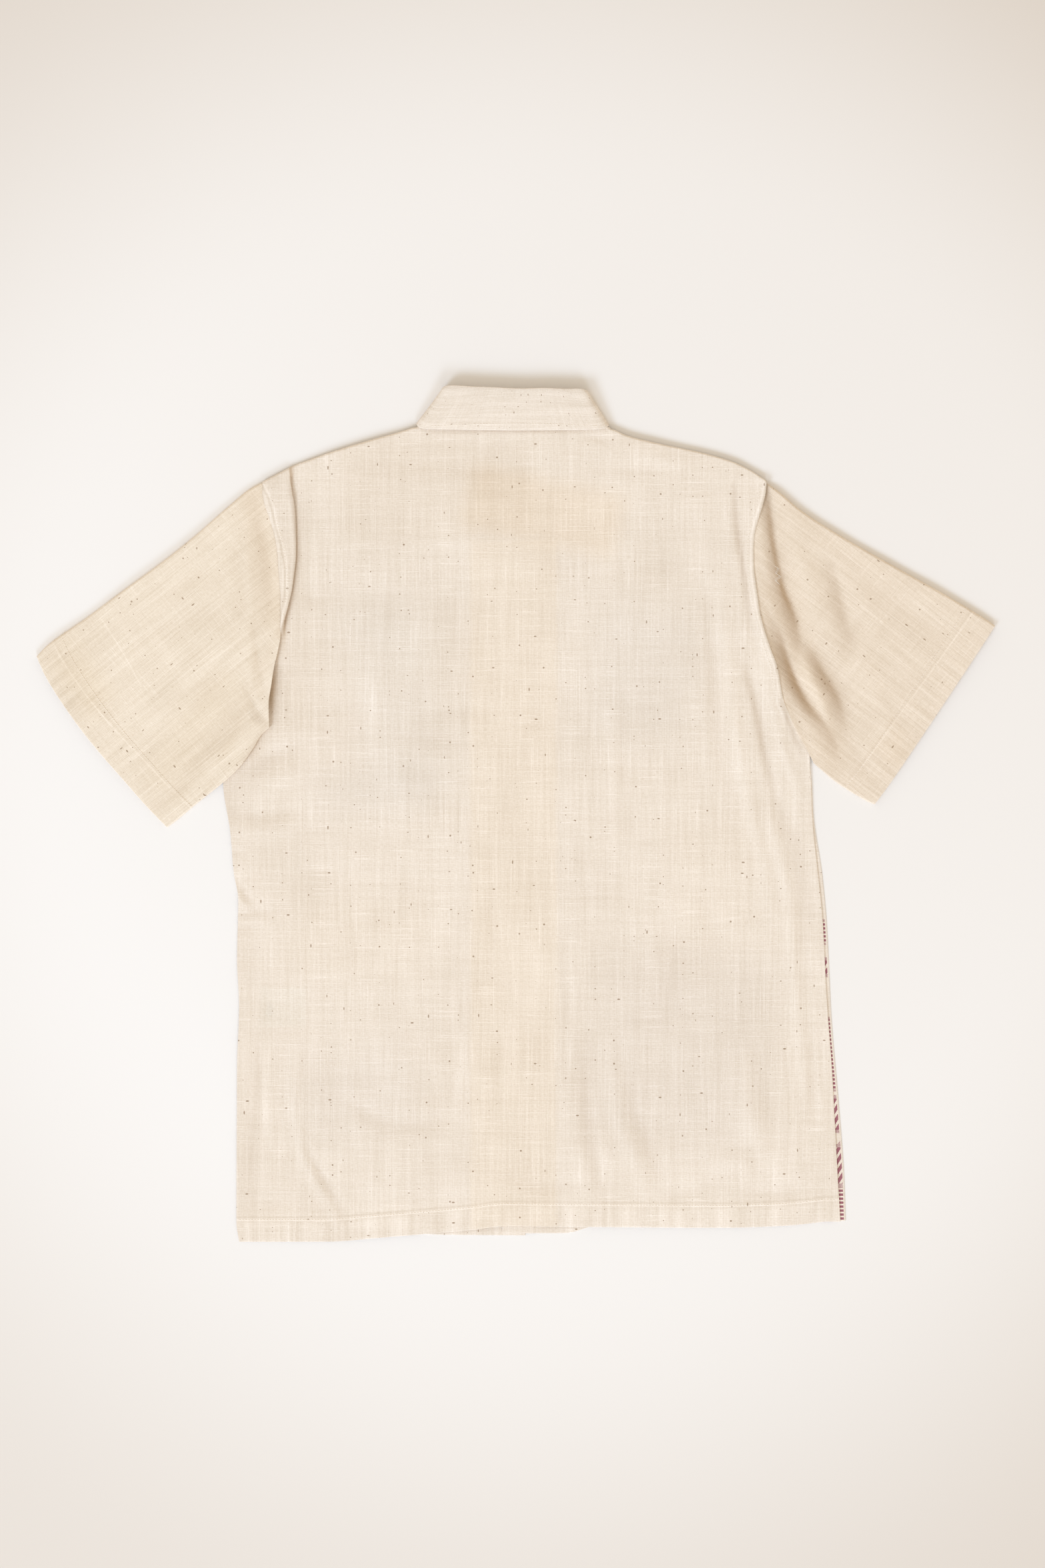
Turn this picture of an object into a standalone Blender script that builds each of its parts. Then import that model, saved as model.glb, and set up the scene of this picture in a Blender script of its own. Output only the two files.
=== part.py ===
"""Short-sleeved stand-collar shirt laid flat with its back up, +Y towards the collar."""

import math

import bmesh
import bpy
import numpy as np
from mathutils import Vector

# Driving sizes, in metres
CLOTH = 0.0010            # thickness of a cloth wall
COLLAR_CLOTH = 0.0016     # the stand collar is stiffened
SEAM_GAP = 0.0003         # half of the gap that two sewn pieces keep
FLOOR_LEVEL = CLOTH / 2   # middle of a wall that lies on the floor
LAP_LEVEL = 0.0018        # middle of a wall that lies on another one
LAP_SLOPE = 0.014         # the upper front comes down to the floor over this width
LAP_FLAT = 0.004          # of which this much stays level
SIDE_LEVEL = 0.00185      # middle of the back's wall at the side seams
CENTRE_LEVEL = 0.0054     # and over the placket
HEM_CENTRE_LEVEL = 0.0034
HEM_RISE_SHARE = 0.10      # the centre rises from the hem's level over this share of the length
RIGHT_ARMHOLE_LEVEL = 0.0042
LEFT_ARMHOLE_RISE = 0.0004
LEFT_SHOULDER_RISE = 0.0011
ARMHOLE_FROM, ARMHOLE_OVER = 0.60, 0.15   # where the back rises towards its armholes, and over how much
LEFT_SHOULDER_FROM, LEFT_SHOULDER_OVER = 0.95, 0.05
RIGHT_RIDGE_OVER = 0.10
SHOULDER_FROM, SHOULDER_OVER = 0.88, 0.12
DOME_POWER = 2.4          # how square the back's cross-section is
LAP_LEFT, LAP_RIGHT = -0.0133, 0.0084   # the two front edges
BUTTON_RIDGE = 0.0023     # how far the placket stands over the buttons
RIDGE_HALF_WIDTH = 0.0145
RIDGE_SLOPE = 0.020
RIDGE_BELOW = 0.045       # the placket's ridge ends this far below the lowest button
RIDGE_FADE = 0.030
BUTTON_DIAMETER = 0.011
BUTTON_THICKNESS = 0.0020
BUTTON_RIM = (0.0005, 0.0014)   # levels between which its side is upright
BUTTON_FACES = (0.80, 0.86)     # radius of its lower and upper face, of the whole radius
BUTTON_SIDES = 14
BUTTON_FIRST_Y = 0.262
BUTTON_PITCH = 0.088
BUTTON_COUNT = 6
BUTTON_X = -0.0025
BUTTON_CLEARANCE = 0.00005
CENTRE_SHIFT = (0.00033, 0.00016, 0.0)   # brings the whole to the middle of its own box
TUBE_UPPER_HEIGHT = 0.0042   # between a sleeve's two layers, at its upper fold
TUBE_MIDDLE_HEIGHT = 0.0044
TUBE_LOWER_HEIGHT = 0.0026
TUBE_LEAST_HEIGHT = 0.0018
TUBE_ROUNDNESS = 0.8         # how much of the middle height is kept between the two folds
SEAM_BLEND = 0.22            # over this share of its length a sleeve leaves the height of its seam
SLEEVE_LIFT = 0.0034         # how far the left sleeve climbs to pass over the body
LIFT_BEFORE, LIFT_OVER = 0.024, 0.022   # along the body's edge: where the climb starts and how long it is
LIFT_OUTSIDE, LIFT_SLOPE = 0.016, 0.014   # and across it
LEFT_SEAM_END = 0.150        # below this Y the left sleeve is rolled over the body
RIGHT_SEAM_END = 0.615       # up to here the right sleeve follows the body's side
COLLAR_TOP_LEVEL = 0.0110    # the collar's free edge springs up
COLLAR_BASE_LEVEL = 0.0071
MM = 0.001

# The tables give millimetres: across and up are fractions of a panel's width and length
BACK_HEM = (  # across, x, y
    (0.00, -258.2, -397.9), (0.14, -182.6, -397.7), (0.23, -133.0, -394.0), (0.31, -90.0, -390.6),
    (0.40, -42.5, -386.6), (0.47, -8.0, -383.1), (0.56, 46.2, -383.7), (0.80, 201.8, -384.7),
    (0.91, 263.8, -382.9), (1.00, 302.2, -379.1),
)
BACK_SHOULDER = (  # from the tuck to the ridge at the right armhole
    (0.00, -207.0, 323.9), (0.06, -190.0, 330.2), (0.14, -162.0, 339.8), (0.23, -131.8, 348.9),
    (0.29, -104.0, 356.4), (0.31, -95.6, 357.0), (0.33, -89.6, 352.0), (0.37, -72.0, 356.5),
    (0.49, -3.4, 357.4), (0.63, 70.0, 356.5), (0.67, 84.0, 352.0), (0.69, 91.0, 355.2),
    (0.715, 102.6, 351.2), (0.80, 139.8, 343.2), (0.87, 173.0, 336.2), (0.94, 203.0, 327.2),
    (1.00, 219.4, 319.2),
)
TUCK_RISE = 14.8          # the shoulder climbs this much across the tuck
RIDGE_RISE = 9.5          # and this much across the ridge at the right armhole
LEFT_SIDE = (  # up, x, y
    (0.000, -258.2, -397.9), (0.024, -260.7, -380.4), (0.060, -260.7, -352.5), (0.160, -260.3, -282.0),
    (0.230, -260.1, -234.7), (0.310, -258.2, -178.9), (0.370, -260.1, -135.5), (0.415, -259.5, -104.5),
    (0.450, -258.9, -79.7), (0.485, -263.2, -54.9), (0.540, -266.3, -17.7), (0.605, -273.1, 29.4),
    (0.655, -258.0, 63.2), (0.705, -242.0, 99.8), (0.755, -225.6, 136.7),
)
RIGHT_SIDE = (
    (0.000, 302.2, -379.1), (0.024, 301.0, -360.5), (0.115, 297.3, -293.6), (0.185, 294.8, -245.2),
    (0.295, 289.2, -168.9), (0.400, 285.5, -96.4), (0.460, 281.2, -54.9), (0.530, 276.2, -5.3),
    (0.590, 274.4, 36.3), (0.615, 272.5, 53.0), (0.655, 258.2, 81.5), (0.690, 247.7, 105.1),
)
# up, seam x and y, width of the strip up to the tuck's edge, turn in degrees, arc length, tuck depth
LEFT_ARMHOLE = (
    (0.755, -225.6, 136.7, 6.0, 0, 2.5, 4.0), (0.798, -220.4, 165.0, 5.0, 25, 2.0, 1.5),
    (0.820, -219.8, 180.1, 5.5, 60, 2.0, 1.0), (0.840, -219.7, 191.0, 7.0, 120, 2.0, 0.8),
    (0.860, -219.8, 204.0, 8.5, 175, 2.5, 4.0), (0.880, -221.0, 220.0, 12.0, 180, 2.5, 7.0),
    (0.902, -222.3, 237.0, 15.5, 180, 2.5, 8.0), (0.925, -224.4, 255.0, 19.5, 180, 2.5, 8.0),
    (0.950, -229.6, 274.0, 24.5, 170, 2.4, 6.0), (0.972, -235.2, 291.0, 27.5, 115, 1.9, 0.9),
    (0.986, -236.4, 300.0, 27.0, 66, 2.2, 0.8), (1.000, -236.5, 309.1, 25.5, 36, 2.5, 0.8),
)
RIGHT_ARMHOLE = (  # up, x, y
    (0.690, 247.7, 105.1), (0.710, 245.2, 119.3), (0.730, 243.6, 135.5), (0.755, 236.4, 156.0),
    (0.798, 227.2, 188.2), (0.820, 225.0, 203.0), (0.840, 222.9, 217.0), (0.860, 221.7, 230.9),
    (0.880, 221.5, 243.0), (0.902, 222.0, 256.5), (0.925, 224.8, 271.0), (0.950, 229.6, 287.0),
    (0.972, 232.4, 299.0), (0.986, 233.0, 304.5), (1.000, 233.4, 309.7),
)
FRONT_RIGHT_SIDE = (
    (0.000, 306.6, -378.5), (0.060, 305.0, -335.0), (0.160, 299.8, -265.7), (0.260, 293.6, -193.1),
    (0.400, 288.6, -96.4), (0.460, 285.0, -58.0), (0.530, 276.9, -1.0), (0.590, 274.8, 36.3),
    (0.615, 272.5, 53.0), (0.655, 258.2, 81.5), (0.690, 247.7, 105.1),
)
FRONT_LEFT_HEM = (  # across, x, y
    (0.0, -255.6, -395.6), (0.3, -182.6, -395.9), (0.6, -108.2, -389.9), (0.8, -67.9, -391.5),
    (1.0, 8.4, -392.1),
)
FRONT_RIGHT_HEM = (
    (0.0, -13.3, -390.1), (0.2, 45.0, -390.0), (0.34, 77.8, -382.9), (0.65, 201.8, -381.9),
    (1.0, 306.6, -378.5),
)
NECK_LEFT = ((-104.0, 355.6), (-96.0, 356.2), (-90.4, 341.8), (-77.6, 317.8), (-54.5, 295.6), (-24.5, 281.8))
NECK_RIGHT = ((98.0, 351.6), (90.0, 354.8), (84.6, 341.8), (71.6, 317.8), (48.5, 295.6), (18.5, 281.8))
SHOULDER_INSET = 1.2      # the fronts' shoulder edge lies this far under the back's roll
FRONT_INSET = 0.0010      # and their armholes and left side this far inside the back's
FRONT_INSET_FROM = 0.6    # on the right, only above this share of the length
FRONT_ROWS_LEFT_OUT = (0.986, 0.415)
NECK_CORNER = 0.4         # the front neck point lies this far below the neckline's last point
LEFT_UPPER = (  # along, x, y
    (0.00, -236.5, 309.1), (0.07, -250.0, 302.2), (0.15, -269.4, 286.1), (0.30, -300.4, 258.5),
    (0.45, -336.0, 230.0), (0.60, -368.6, 206.2), (0.75, -399.6, 182.8), (0.92, -437.0, 156.0),
    (1.00, -446.1, 146.6),
)
LEFT_LOWER = (
    (0.00, -229.7, 80.9), (0.07, -237.2, 74.1), (0.15, -244.0, 62.9), (0.30, -258.0, 43.5),
    (0.45, -273.1, 29.4), (0.60, -285.5, 19.5), (0.75, -300.4, 7.8), (0.92, -317.0, -6.0),
    (1.00, -325.2, -12.1),
)
LEFT_CUFF = (  # across, x, y
    (0.00, -446.1, 146.6), (0.10, -439.3, 131.1), (0.24, -424.4, 106.3), (0.40, -407.0, 81.5),
    (0.57, -387.2, 56.7), (0.74, -365.5, 31.9), (0.88, -343.8, 7.1), (1.00, -325.2, -12.1),
)
LEFT_ROLLED_EDGE = (  # x, y where the sleeve lies rolled over the body
    (-223.0, 151.0), (-226.0, 136.7), (-228.0, 120.0), (-230.4, 103.0), (-229.7, 80.9),
)
RIGHT_UPPER = (
    (0.00, 233.4, 309.7), (0.07, 248.0, 298.4), (0.15, 264.0, 284.6), (0.30, 298.0, 262.0),
    (0.45, 332.0, 242.2), (0.60, 365.0, 223.6), (0.75, 397.0, 205.5), (0.92, 434.0, 183.0),
    (1.00, 445.5, 175.2),
)
RIGHT_LOWER = (
    (0.00, 276.9, 47.9), (0.07, 281.0, 44.4), (0.15, 285.6, 40.4), (0.30, 293.4, 33.6),
    (0.45, 301.0, 28.0), (0.60, 309.4, 22.6), (0.75, 318.4, 17.2), (0.92, 329.0, 11.4),
    (1.00, 333.9, 9.6),
)
RIGHT_CUFF = (
    (0.00, 445.5, 175.2), (0.15, 430.4, 152.0), (0.40, 405.0, 113.6), (0.70, 372.6, 65.0),
    (0.90, 347.0, 27.5), (1.00, 333.9, 9.6),
)
BODY_UNDER_SLEEVE = ((-225.6, 136.7), (-273.1, 29.4))   # the body's edge that the left sleeve covers
# Collar: base x and y, top x and y, how far round the fold in degrees (0 below, 180 on top)
COLLAR = (
    (-5.2, 283.0, -5.2, 321.0, 0), (-24.0, 284.6, -19.0, 321.8, 0), (-52.0, 298.4, -38.0, 333.0, 0),
    (-73.6, 320.0, -54.0, 353.0, 0), (-84.6, 340.0, -61.0, 378.0, 0), (-89.0, 353.6, -63.0, 394.0, 0),
    (-91.6, 357.0, -65.6, 396.4, 35), (-93.2, 358.6, -67.4, 397.0, 75), (-92.6, 358.8, -67.0, 397.2, 120),
    (-89.6, 357.4, -63.6, 397.5, 155), (-83.0, 356.2, -57.0, 397.4, 180), (-46.2, 355.6, -30.0, 397.0, 180),
    (-3.4, 355.0, 3.4, 395.9, 180), (40.6, 355.6, 34.0, 395.4, 180), (77.0, 356.2, 56.0, 395.4, 180),
    (83.6, 357.2, 62.6, 395.2, 155), (86.6, 358.4, 66.0, 394.6, 120), (87.2, 358.2, 66.4, 394.2, 75),
    (85.6, 356.6, 64.6, 393.6, 35), (83.0, 353.2, 62.0, 392.0, 0), (79.6, 340.0, 60.0, 378.0, 0),
    (68.6, 320.0, 51.0, 353.0, 0), (47.0, 298.4, 34.0, 333.0, 0), (18.0, 284.6, 13.0, 321.8, 0),
    (-0.8, 283.0, -0.8, 321.0, 0),
)
COLLAR_ROWS = 4
FRONT_COLUMNS = (0.0001, 0.09, 0.18, 0.27, 0.36, 0.45, 0.54, 0.62, 0.70, 0.77)
LEFT_NEAR_CENTRE = (37.0, 30.5, 24.0, 17.0, 8.5, 0.0)   # distance from the centre edge
RIGHT_NEAR_CENTRE = (46.0, 39.0, 32.0, 25.5, 16.0, 8.0, 0.0)
BACK_COLUMNS = (
    0.03, 0.06, 0.10, 0.14, 0.185, 0.23, 0.26, 0.29, 0.31, 0.33, 0.37, 0.41, 0.45, 0.49, 0.53, 0.58,
    0.63, 0.67, 0.69, 0.715, 0.755, 0.80, 0.835, 0.87, 0.905, 0.94,
)
# Near the right armhole: distance from the seam in millimetres and height of the seam's ridge
RIGHT_RIDGE = ((14.0, 0.0), (8.5, 0.3), (5.5, 1.2), (2.5, 1.4), (0.0, 1.2))
ROLL_ANGLES = (25, 50, 72, 90)
ROLL_RADIUS = 0.00245     # of the shoulder's edge
ROLL_SHARE = 0.8          # and where the back lies low, this share of its height
SHORTEST_RIM = 0.0006
NECK_ENDS = (5, 11)       # rows of the shoulder's table where the neckline starts and ends
NECK_MARGIN = 0.003
NECK_RIM = 0.0012
BACK_LENGTH = 0.707
EXTRA_ROWS = (0.11, 0.19, 0.27, 0.57)
SLEEVE_STATIONS = (0.0, 0.035, 0.07, 0.11, 0.16, 0.24, 0.34, 0.45, 0.58, 0.72, 0.86, 1.0)
SLEEVE_TROUGH = ((0.0, 0.0), (0.035, -0.6), (0.07, -1.3), (0.11, -1.2), (0.15, -0.4), (0.22, 0.0), (1.0, 0.0))

FABRIC_COLOUR = (0.86, 0.77, 0.65)
SLEEVE_COLOUR = (0.83, 0.73, 0.59)
BUTTON_COLOUR = (0.80, 0.72, 0.58)


def table(rows, at, column):
    """Read a table's column between its rows."""
    return float(np.interp(at, [row[0] for row in rows], [row[column] for row in rows]))


def plan(rows, at):
    return np.array((table(rows, at, 1), table(rows, at, 2))) * MM


def smooth(at):
    at = min(max(at, 0.0), 1.0)
    return at * at * (3 - 2 * at)


def along_polyline(points, at):
    """Point at a fraction of a polyline's length."""
    points = np.array(points)
    steps = np.linalg.norm(np.diff(points, axis=0), axis=1)
    travelled = np.concatenate(([0], np.cumsum(steps))) / steps.sum()
    return np.array([np.interp(at, travelled, points[:, axis]) for axis in (0, 1)]) * MM


def coons(bottom, top, left, right, across, up):
    """Point of the patch that fills four edges."""
    straight = (
        (1 - across) * (1 - up) * bottom(0) + across * (1 - up) * bottom(1)
        + (1 - across) * up * top(0) + across * up * top(1)
    )
    return (
        (1 - up) * bottom(across) + up * top(across)
        + (1 - across) * left(up) + across * right(up) - straight
    )


def left_edge(up):
    rows = LEFT_SIDE if up < LEFT_ARMHOLE[0][0] else LEFT_ARMHOLE
    return plan(rows, up)


def right_edge(up):
    rows = RIGHT_SIDE if up < RIGHT_ARMHOLE[0][0] else RIGHT_ARMHOLE
    return plan(rows, up)


def front_right_edge(up):
    rows = FRONT_RIGHT_SIDE if up < RIGHT_ARMHOLE[0][0] else RIGHT_ARMHOLE
    return plan(rows, up)


def button_places():
    return [BUTTON_FIRST_Y - BUTTON_PITCH * number for number in range(BUTTON_COUNT)]


def ridge(x, y):
    """How far the placket is lifted by the buttons that lie under it."""
    lowest = button_places()[-1]
    lengthways = smooth((y - lowest + RIDGE_BELOW) / RIDGE_FADE)
    beside = abs(x - BUTTON_X) - RIDGE_HALF_WIDTH
    return BUTTON_RIDGE * lengthways * smooth(1 - beside / RIDGE_SLOPE)


def back_level(across, up):
    """Middle of the back's wall, before its tuck and its ridge."""
    at_armhole = smooth((up - ARMHOLE_FROM) / ARMHOLE_OVER)
    at_shoulder = smooth((up - LEFT_SHOULDER_FROM) / LEFT_SHOULDER_OVER)
    right = SIDE_LEVEL + (RIGHT_ARMHOLE_LEVEL - SIDE_LEVEL) * at_armhole
    left = SIDE_LEVEL + LEFT_ARMHOLE_RISE * at_armhole + LEFT_SHOULDER_RISE * at_shoulder
    edges = (1 - across) * left + across * right
    centre = HEM_CENTRE_LEVEL + (CENTRE_LEVEL - HEM_CENTRE_LEVEL) * smooth(up / HEM_RISE_SHARE)
    flat = abs(2 * across - 1) ** DOME_POWER
    return edges + (centre - 0.5 * (left + right)) * (1 - flat)


def tuck_section(up):
    """Offsets (sideways, height) of the left armhole's tuck, from the seam to the panel below it."""
    values = [table(LEFT_ARMHOLE, up, column) for column in (3, 4, 5, 6)]
    if up < LEFT_ARMHOLE[0][0]:
        values = list(LEFT_ARMHOLE[0][3:])
    width, turn, arc, depth = values
    turn = math.radians(turn)
    runs = [(width * 0.35, 0.0), (width * 0.35, 0.0), (width * 0.30, 0.0)]
    runs += [(arc / 4, turn * part) for part in (0.125, 0.375, 0.625, 0.875)]
    runs += [(depth / 2, turn), (depth / 2, turn)]
    runs += [(arc / 4, turn * part) for part in (0.875, 0.625, 0.375, 0.125)]
    offsets = [(0.0, 0.0)]
    for length, angle in runs:
        sideways, height = offsets[-1]
        offsets.append((sideways + length * math.cos(angle), height - length * math.sin(angle)))
    last = offsets[-1][1]
    return [(sideways * MM, (height - last) * MM) for sideways, height in offsets]


def roll_shape():
    """The quarter turn at the shoulder: inset from the edge and drop, for a radius of 1."""
    angles = [math.radians(angle) for angle in (0,) + ROLL_ANGLES]
    return [(1 - math.sin(angle), 1 - math.cos(angle)) for angle in angles]


def seam_radius(top_level):
    return (top_level - FLOOR_LEVEL) / 2


def near_shoulder(up):
    return smooth((up - SHOULDER_FROM) / SHOULDER_OVER)


def panel_left(at):
    """Where the plain panel begins, past the tuck."""
    rise = TUCK_RISE * MM * near_shoulder(at)
    return left_edge(at) + np.array((SEAM_GAP + tuck_section(at)[-1][0], rise))


def panel_right(at):
    """Where the plain panel ends, before the ridge."""
    rise = RIDGE_RISE * MM * near_shoulder(at)
    return right_edge(at) + np.array((-SEAM_GAP - RIGHT_RIDGE[0][0] * MM, rise))


def back_hem(at):
    return shifted(BACK_HEM, at, panel_left(0), panel_right(0))


def back_shoulder(at):
    return shifted(BACK_SHOULDER, at, panel_left(1), panel_right(1))


def tuck_points(up):
    """The strip beside the left seam and the tuck that ends it."""
    section = tuck_section(up)[:-1]
    x, y = left_edge(up) + np.array((SEAM_GAP, 0))
    climb = TUCK_RISE * MM * near_shoulder(up) / tuck_section(up)[-1][0]
    level = back_level(0.0, up)
    return [(x + sideways, y + climb * sideways, level + height) for sideways, height in section]


def ridge_points(up):
    """The raised seam beside the right armhole."""
    x, y = right_edge(up) - np.array((SEAM_GAP, 0))
    climb = RIDGE_RISE * near_shoulder(up) / RIGHT_RIDGE[0][0]
    strength = smooth((up - ARMHOLE_FROM) / RIGHT_RIDGE_OVER)
    width = x - panel_left(up)[0]
    points = []
    for distance, height in RIGHT_RIDGE:
        offset = distance * MM
        level = back_level(1 - offset / width, up) + height * MM * strength
        points.append((x - offset, y + climb * offset, level))
    return points


def back_grid():
    """Middle surface of the back, columns left to right and rows from the hem up."""
    ups = {row[0] for row in LEFT_SIDE + LEFT_ARMHOLE + RIGHT_ARMHOLE} | set(EXTRA_ROWS)
    rows = [(up, 0.0, False) for up in sorted(ups) if up < 1.0]
    rows += [(1 - ROLL_RADIUS * inset / BACK_LENGTH, drop, False) for inset, drop in roll_shape()]
    rows.append((1.0, 0.0, True))
    grid = []
    for up, drop, last in rows:
        line = tuck_points(up)
        for across in (0.0,) + BACK_COLUMNS:
            x, y = coons(back_hem, back_shoulder, panel_left, panel_right, across, up)
            line.append((x, y, back_level(across, up)))
        line += ridge_points(up)
        grid.append(rolled(line, drop, last))
    return np.array(grid).transpose(1, 0, 2)


def shifted(rows, at, first, final):
    """A table's edge, squeezed so that it runs between two given ends."""
    start, end = plan(rows, 0), plan(rows, 1)
    point = plan(rows, at)
    return point + (1 - at) * (first - start) + at * (final - end)


def rolled(points, drop, last):
    """Turn a row of the shoulder's edge down, but not along the neckline."""
    neck_left, neck_right = (BACK_SHOULDER[number][1] * MM for number in NECK_ENDS)
    out = []
    for x, y, z in points:
        at_shoulder = not neck_left + NECK_MARGIN < x < neck_right - NECK_MARGIN
        radius = min(ROLL_RADIUS, ROLL_SHARE * (z - SIDE_LEVEL) + 0.0001)
        if at_shoulder:
            lowest = min(SIDE_LEVEL, z - radius - SHORTEST_RIM)
            z = lowest if last else z - drop * radius
        elif last:
            y += NECK_RIM
        out.append((x, y, z))
    return out


def flat_front(hem_rows, side, neck, is_left):
    """Middle surface of a front, from its side to the centre edge."""
    ups = sorted({row[0] for row in LEFT_SIDE + LEFT_ARMHOLE + RIGHT_ARMHOLE})
    ups = [up for up in ups if up not in FRONT_ROWS_LEFT_OUT]
    inset = SHOULDER_INSET * MM
    shoulder = BACK_SHOULDER[:5] if is_left else BACK_SHOULDER[:11:-1]
    corner = LEFT_ARMHOLE[-1] if is_left else RIGHT_ARMHOLE[-1]
    outline = [(row[1], row[2] - SHOULDER_INSET) for row in (corner[:3],) + tuple(shoulder)] + list(neck)
    edge_x = LAP_RIGHT if is_left else LAP_LEFT
    neck_y = neck[-1][1] * MM
    hem_y = (hem_rows[-1][2] if is_left else hem_rows[0][2]) * MM
    outline.append((edge_x / MM, neck_y / MM - NECK_CORNER))

    def top(at):
        return along_polyline(outline, at)

    def outer(at):
        sign = 1 if is_left else -1
        slack = FRONT_INSET if is_left or at > FRONT_INSET_FROM else 0.0
        point = side(at) + np.array((sign * slack, 0))
        point[1] -= inset * at
        if at == 0:
            point[1] = plan(hem_rows, 0 if is_left else 1)[1]
        return point

    def centre(at):
        return np.array((edge_x, hem_y + (neck_y - NECK_CORNER * MM - hem_y) * at))

    def hem(at):
        place = plan(hem_rows, at if is_left else 1 - at)
        if at == 0:
            place[0] = outer(0)[0]
        return place

    near_centre = LEFT_NEAR_CENTRE if is_left else RIGHT_NEAR_CENTRE
    columns = [(share, 0.0) for share in FRONT_COLUMNS] + [(1.0, distance * MM) for distance in near_centre]
    grid = []
    for share, distance in columns:
        line = []
        for up in ups:
            across = share - distance / abs(outer(up)[0] - edge_x)
            x, y = coons(hem, top, outer, centre, across, up)
            level = FLOOR_LEVEL + ridge(x, y)
            if not is_left:
                over_lap = smooth((LAP_RIGHT + LAP_SLOPE - x) / (LAP_SLOPE - LAP_FLAT))
                level += (LAP_LEVEL - FLOOR_LEVEL) * over_lap
            line.append((x, y, level))
        grid.append(line)
    grid = np.array(grid)
    return grid if is_left else grid[::-1]


def lift_over_body(x, y):
    """How far the left sleeve is raised where the body lies under it."""
    start, end = (np.array(point) * MM for point in BODY_UNDER_SLEEVE)
    run = (end - start) / np.linalg.norm(end - start)
    offset = np.array((x, y)) - start
    inside = run[0] * offset[1] - run[1] * offset[0]
    below_start = smooth((float(run @ offset) + LIFT_BEFORE) / LIFT_OVER)
    return SLEEVE_LIFT * below_start * smooth((inside + LIFT_OUTSIDE) / LIFT_SLOPE)


def sleeve_grid(back, is_left):
    """Rings of a flattened tube, from the armhole to the cuff."""
    armhole = LEFT_ARMHOLE if is_left else RIGHT_ARMHOLE
    upper, lower, cuff = (
        (LEFT_UPPER, LEFT_LOWER, LEFT_CUFF) if is_left else (RIGHT_UPPER, RIGHT_LOWER, RIGHT_CUFF)
    )
    sign = -1 if is_left else 1
    column = 0 if is_left else -1
    seam = [tuple(point) for point in back[column] if point[1] >= armhole[0][2] * MM - 0.0005]
    seam = seam[::-1][1:]
    seam = [(x + sign * 3 * SEAM_GAP, y, z) for x, y, z in seam]
    quarter = len(ROLL_ANGLES)
    if is_left:
        seam = [point for point in seam if point[1] > LEFT_SEAM_END]
        seam += [(x * MM, y * MM, None) for x, y in LEFT_ROLLED_EDGE]
    else:
        extra = [row for row in RIGHT_SIDE if row[0] >= RIGHT_SEAM_END][::-1][1:]
        seam += [(row[1] * MM + 2 * SEAM_GAP, row[2] * MM, None) for row in extra[:-1]]
        seam.append((RIGHT_LOWER[0][1] * MM, RIGHT_LOWER[0][2] * MM, None))
    points = np.array([point[:2] for point in seam])
    steps = np.linalg.norm(np.diff(points, axis=0), axis=1)
    fractions = np.concatenate(([0], np.cumsum(steps))) / steps.sum()
    inner = range(quarter + 1, len(seam) - 1)

    def armhole_edge(at):
        return np.array([np.interp(at, fractions, points[:, axis]) for axis in (0, 1)])

    def upper_edge(at):
        return plan(upper, at) + (1 - at) * (armhole_edge(0) - plan(upper, 0))

    def lower_edge(at):
        return plan(lower, at) + (1 - at) * (armhole_edge(1) - plan(lower, 0))

    def place(across, along):
        return coons(armhole_edge, lambda at: plan(cuff, at), upper_edge, lower_edge, across, along)

    rings = []
    for station in SLEEVE_STATIONS:
        width = np.linalg.norm(place(1.0, station) - place(0.0, station))
        seam_share = 1 - smooth(station / SEAM_BLEND)
        upper_radius = TUBE_UPPER_HEIGHT / 2 * (1 - seam_share) + seam_radius(seam[quarter][2]) * seam_share
        lower_radius = TUBE_LOWER_HEIGHT / 2
        turn = [math.radians(angle) for angle in ROLL_ANGLES]
        trough = table(SLEEVE_TROUGH, station, 1) * MM
        ring = []

        def layer(across, on_top, inset_radius=None, angle=None):
            x, y = place(across, station)
            low = FLOOR_LEVEL + (lift_over_body(x, y) if is_left else 0.0)
            middle = math.sin(math.pi * min(max(across, 0.0), 1.0))
            height = (
                2 * upper_radius * (1 - across) + 2 * lower_radius * across
                + (TUBE_MIDDLE_HEIGHT - upper_radius - lower_radius) * middle * TUBE_ROUNDNESS
            )
            if seam_share > 0 and angle is None:
                known = [point[2] for point in seam if point[2] is not None]
                reach = fractions[len(known) - 1]
                if across <= reach:
                    target = float(np.interp(across, fractions[: len(known)], known)) - low
                    height = height * (1 - seam_share) + target * seam_share
            height = max(height + trough * middle, TUBE_LEAST_HEIGHT)
            if angle is None:
                return (x, y, low + (height if on_top else 0.0))
            centre = low + inset_radius
            return (x, y, centre + inset_radius * math.cos(angle))

        for angle in [0.0] + turn:
            inset = upper_radius * (1 - math.sin(angle)) / width
            ring.append(layer(inset, True, upper_radius, angle))
        ring = ring[::-1]
        for number in inner:
            ring.append(layer(float(fractions[number]), True))
        lower_turn = [math.radians(angle) for angle in (0, 45, 90, 135, 180)]
        for angle in lower_turn:
            inset = lower_radius * (1 - math.sin(angle)) / width
            ring.append(layer(1 - inset, True, lower_radius, angle))
        for number in inner[::-1]:
            ring.append(layer(float(fractions[number]), False))
        for angle in [math.pi - value for value in [0.0] + turn[:-1]]:
            inset = upper_radius * (1 - math.sin(angle)) / width
            ring.append(layer(inset, True, upper_radius, angle))
        rings.append(ring)
    return np.array(rings).transpose(1, 0, 2)


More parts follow.
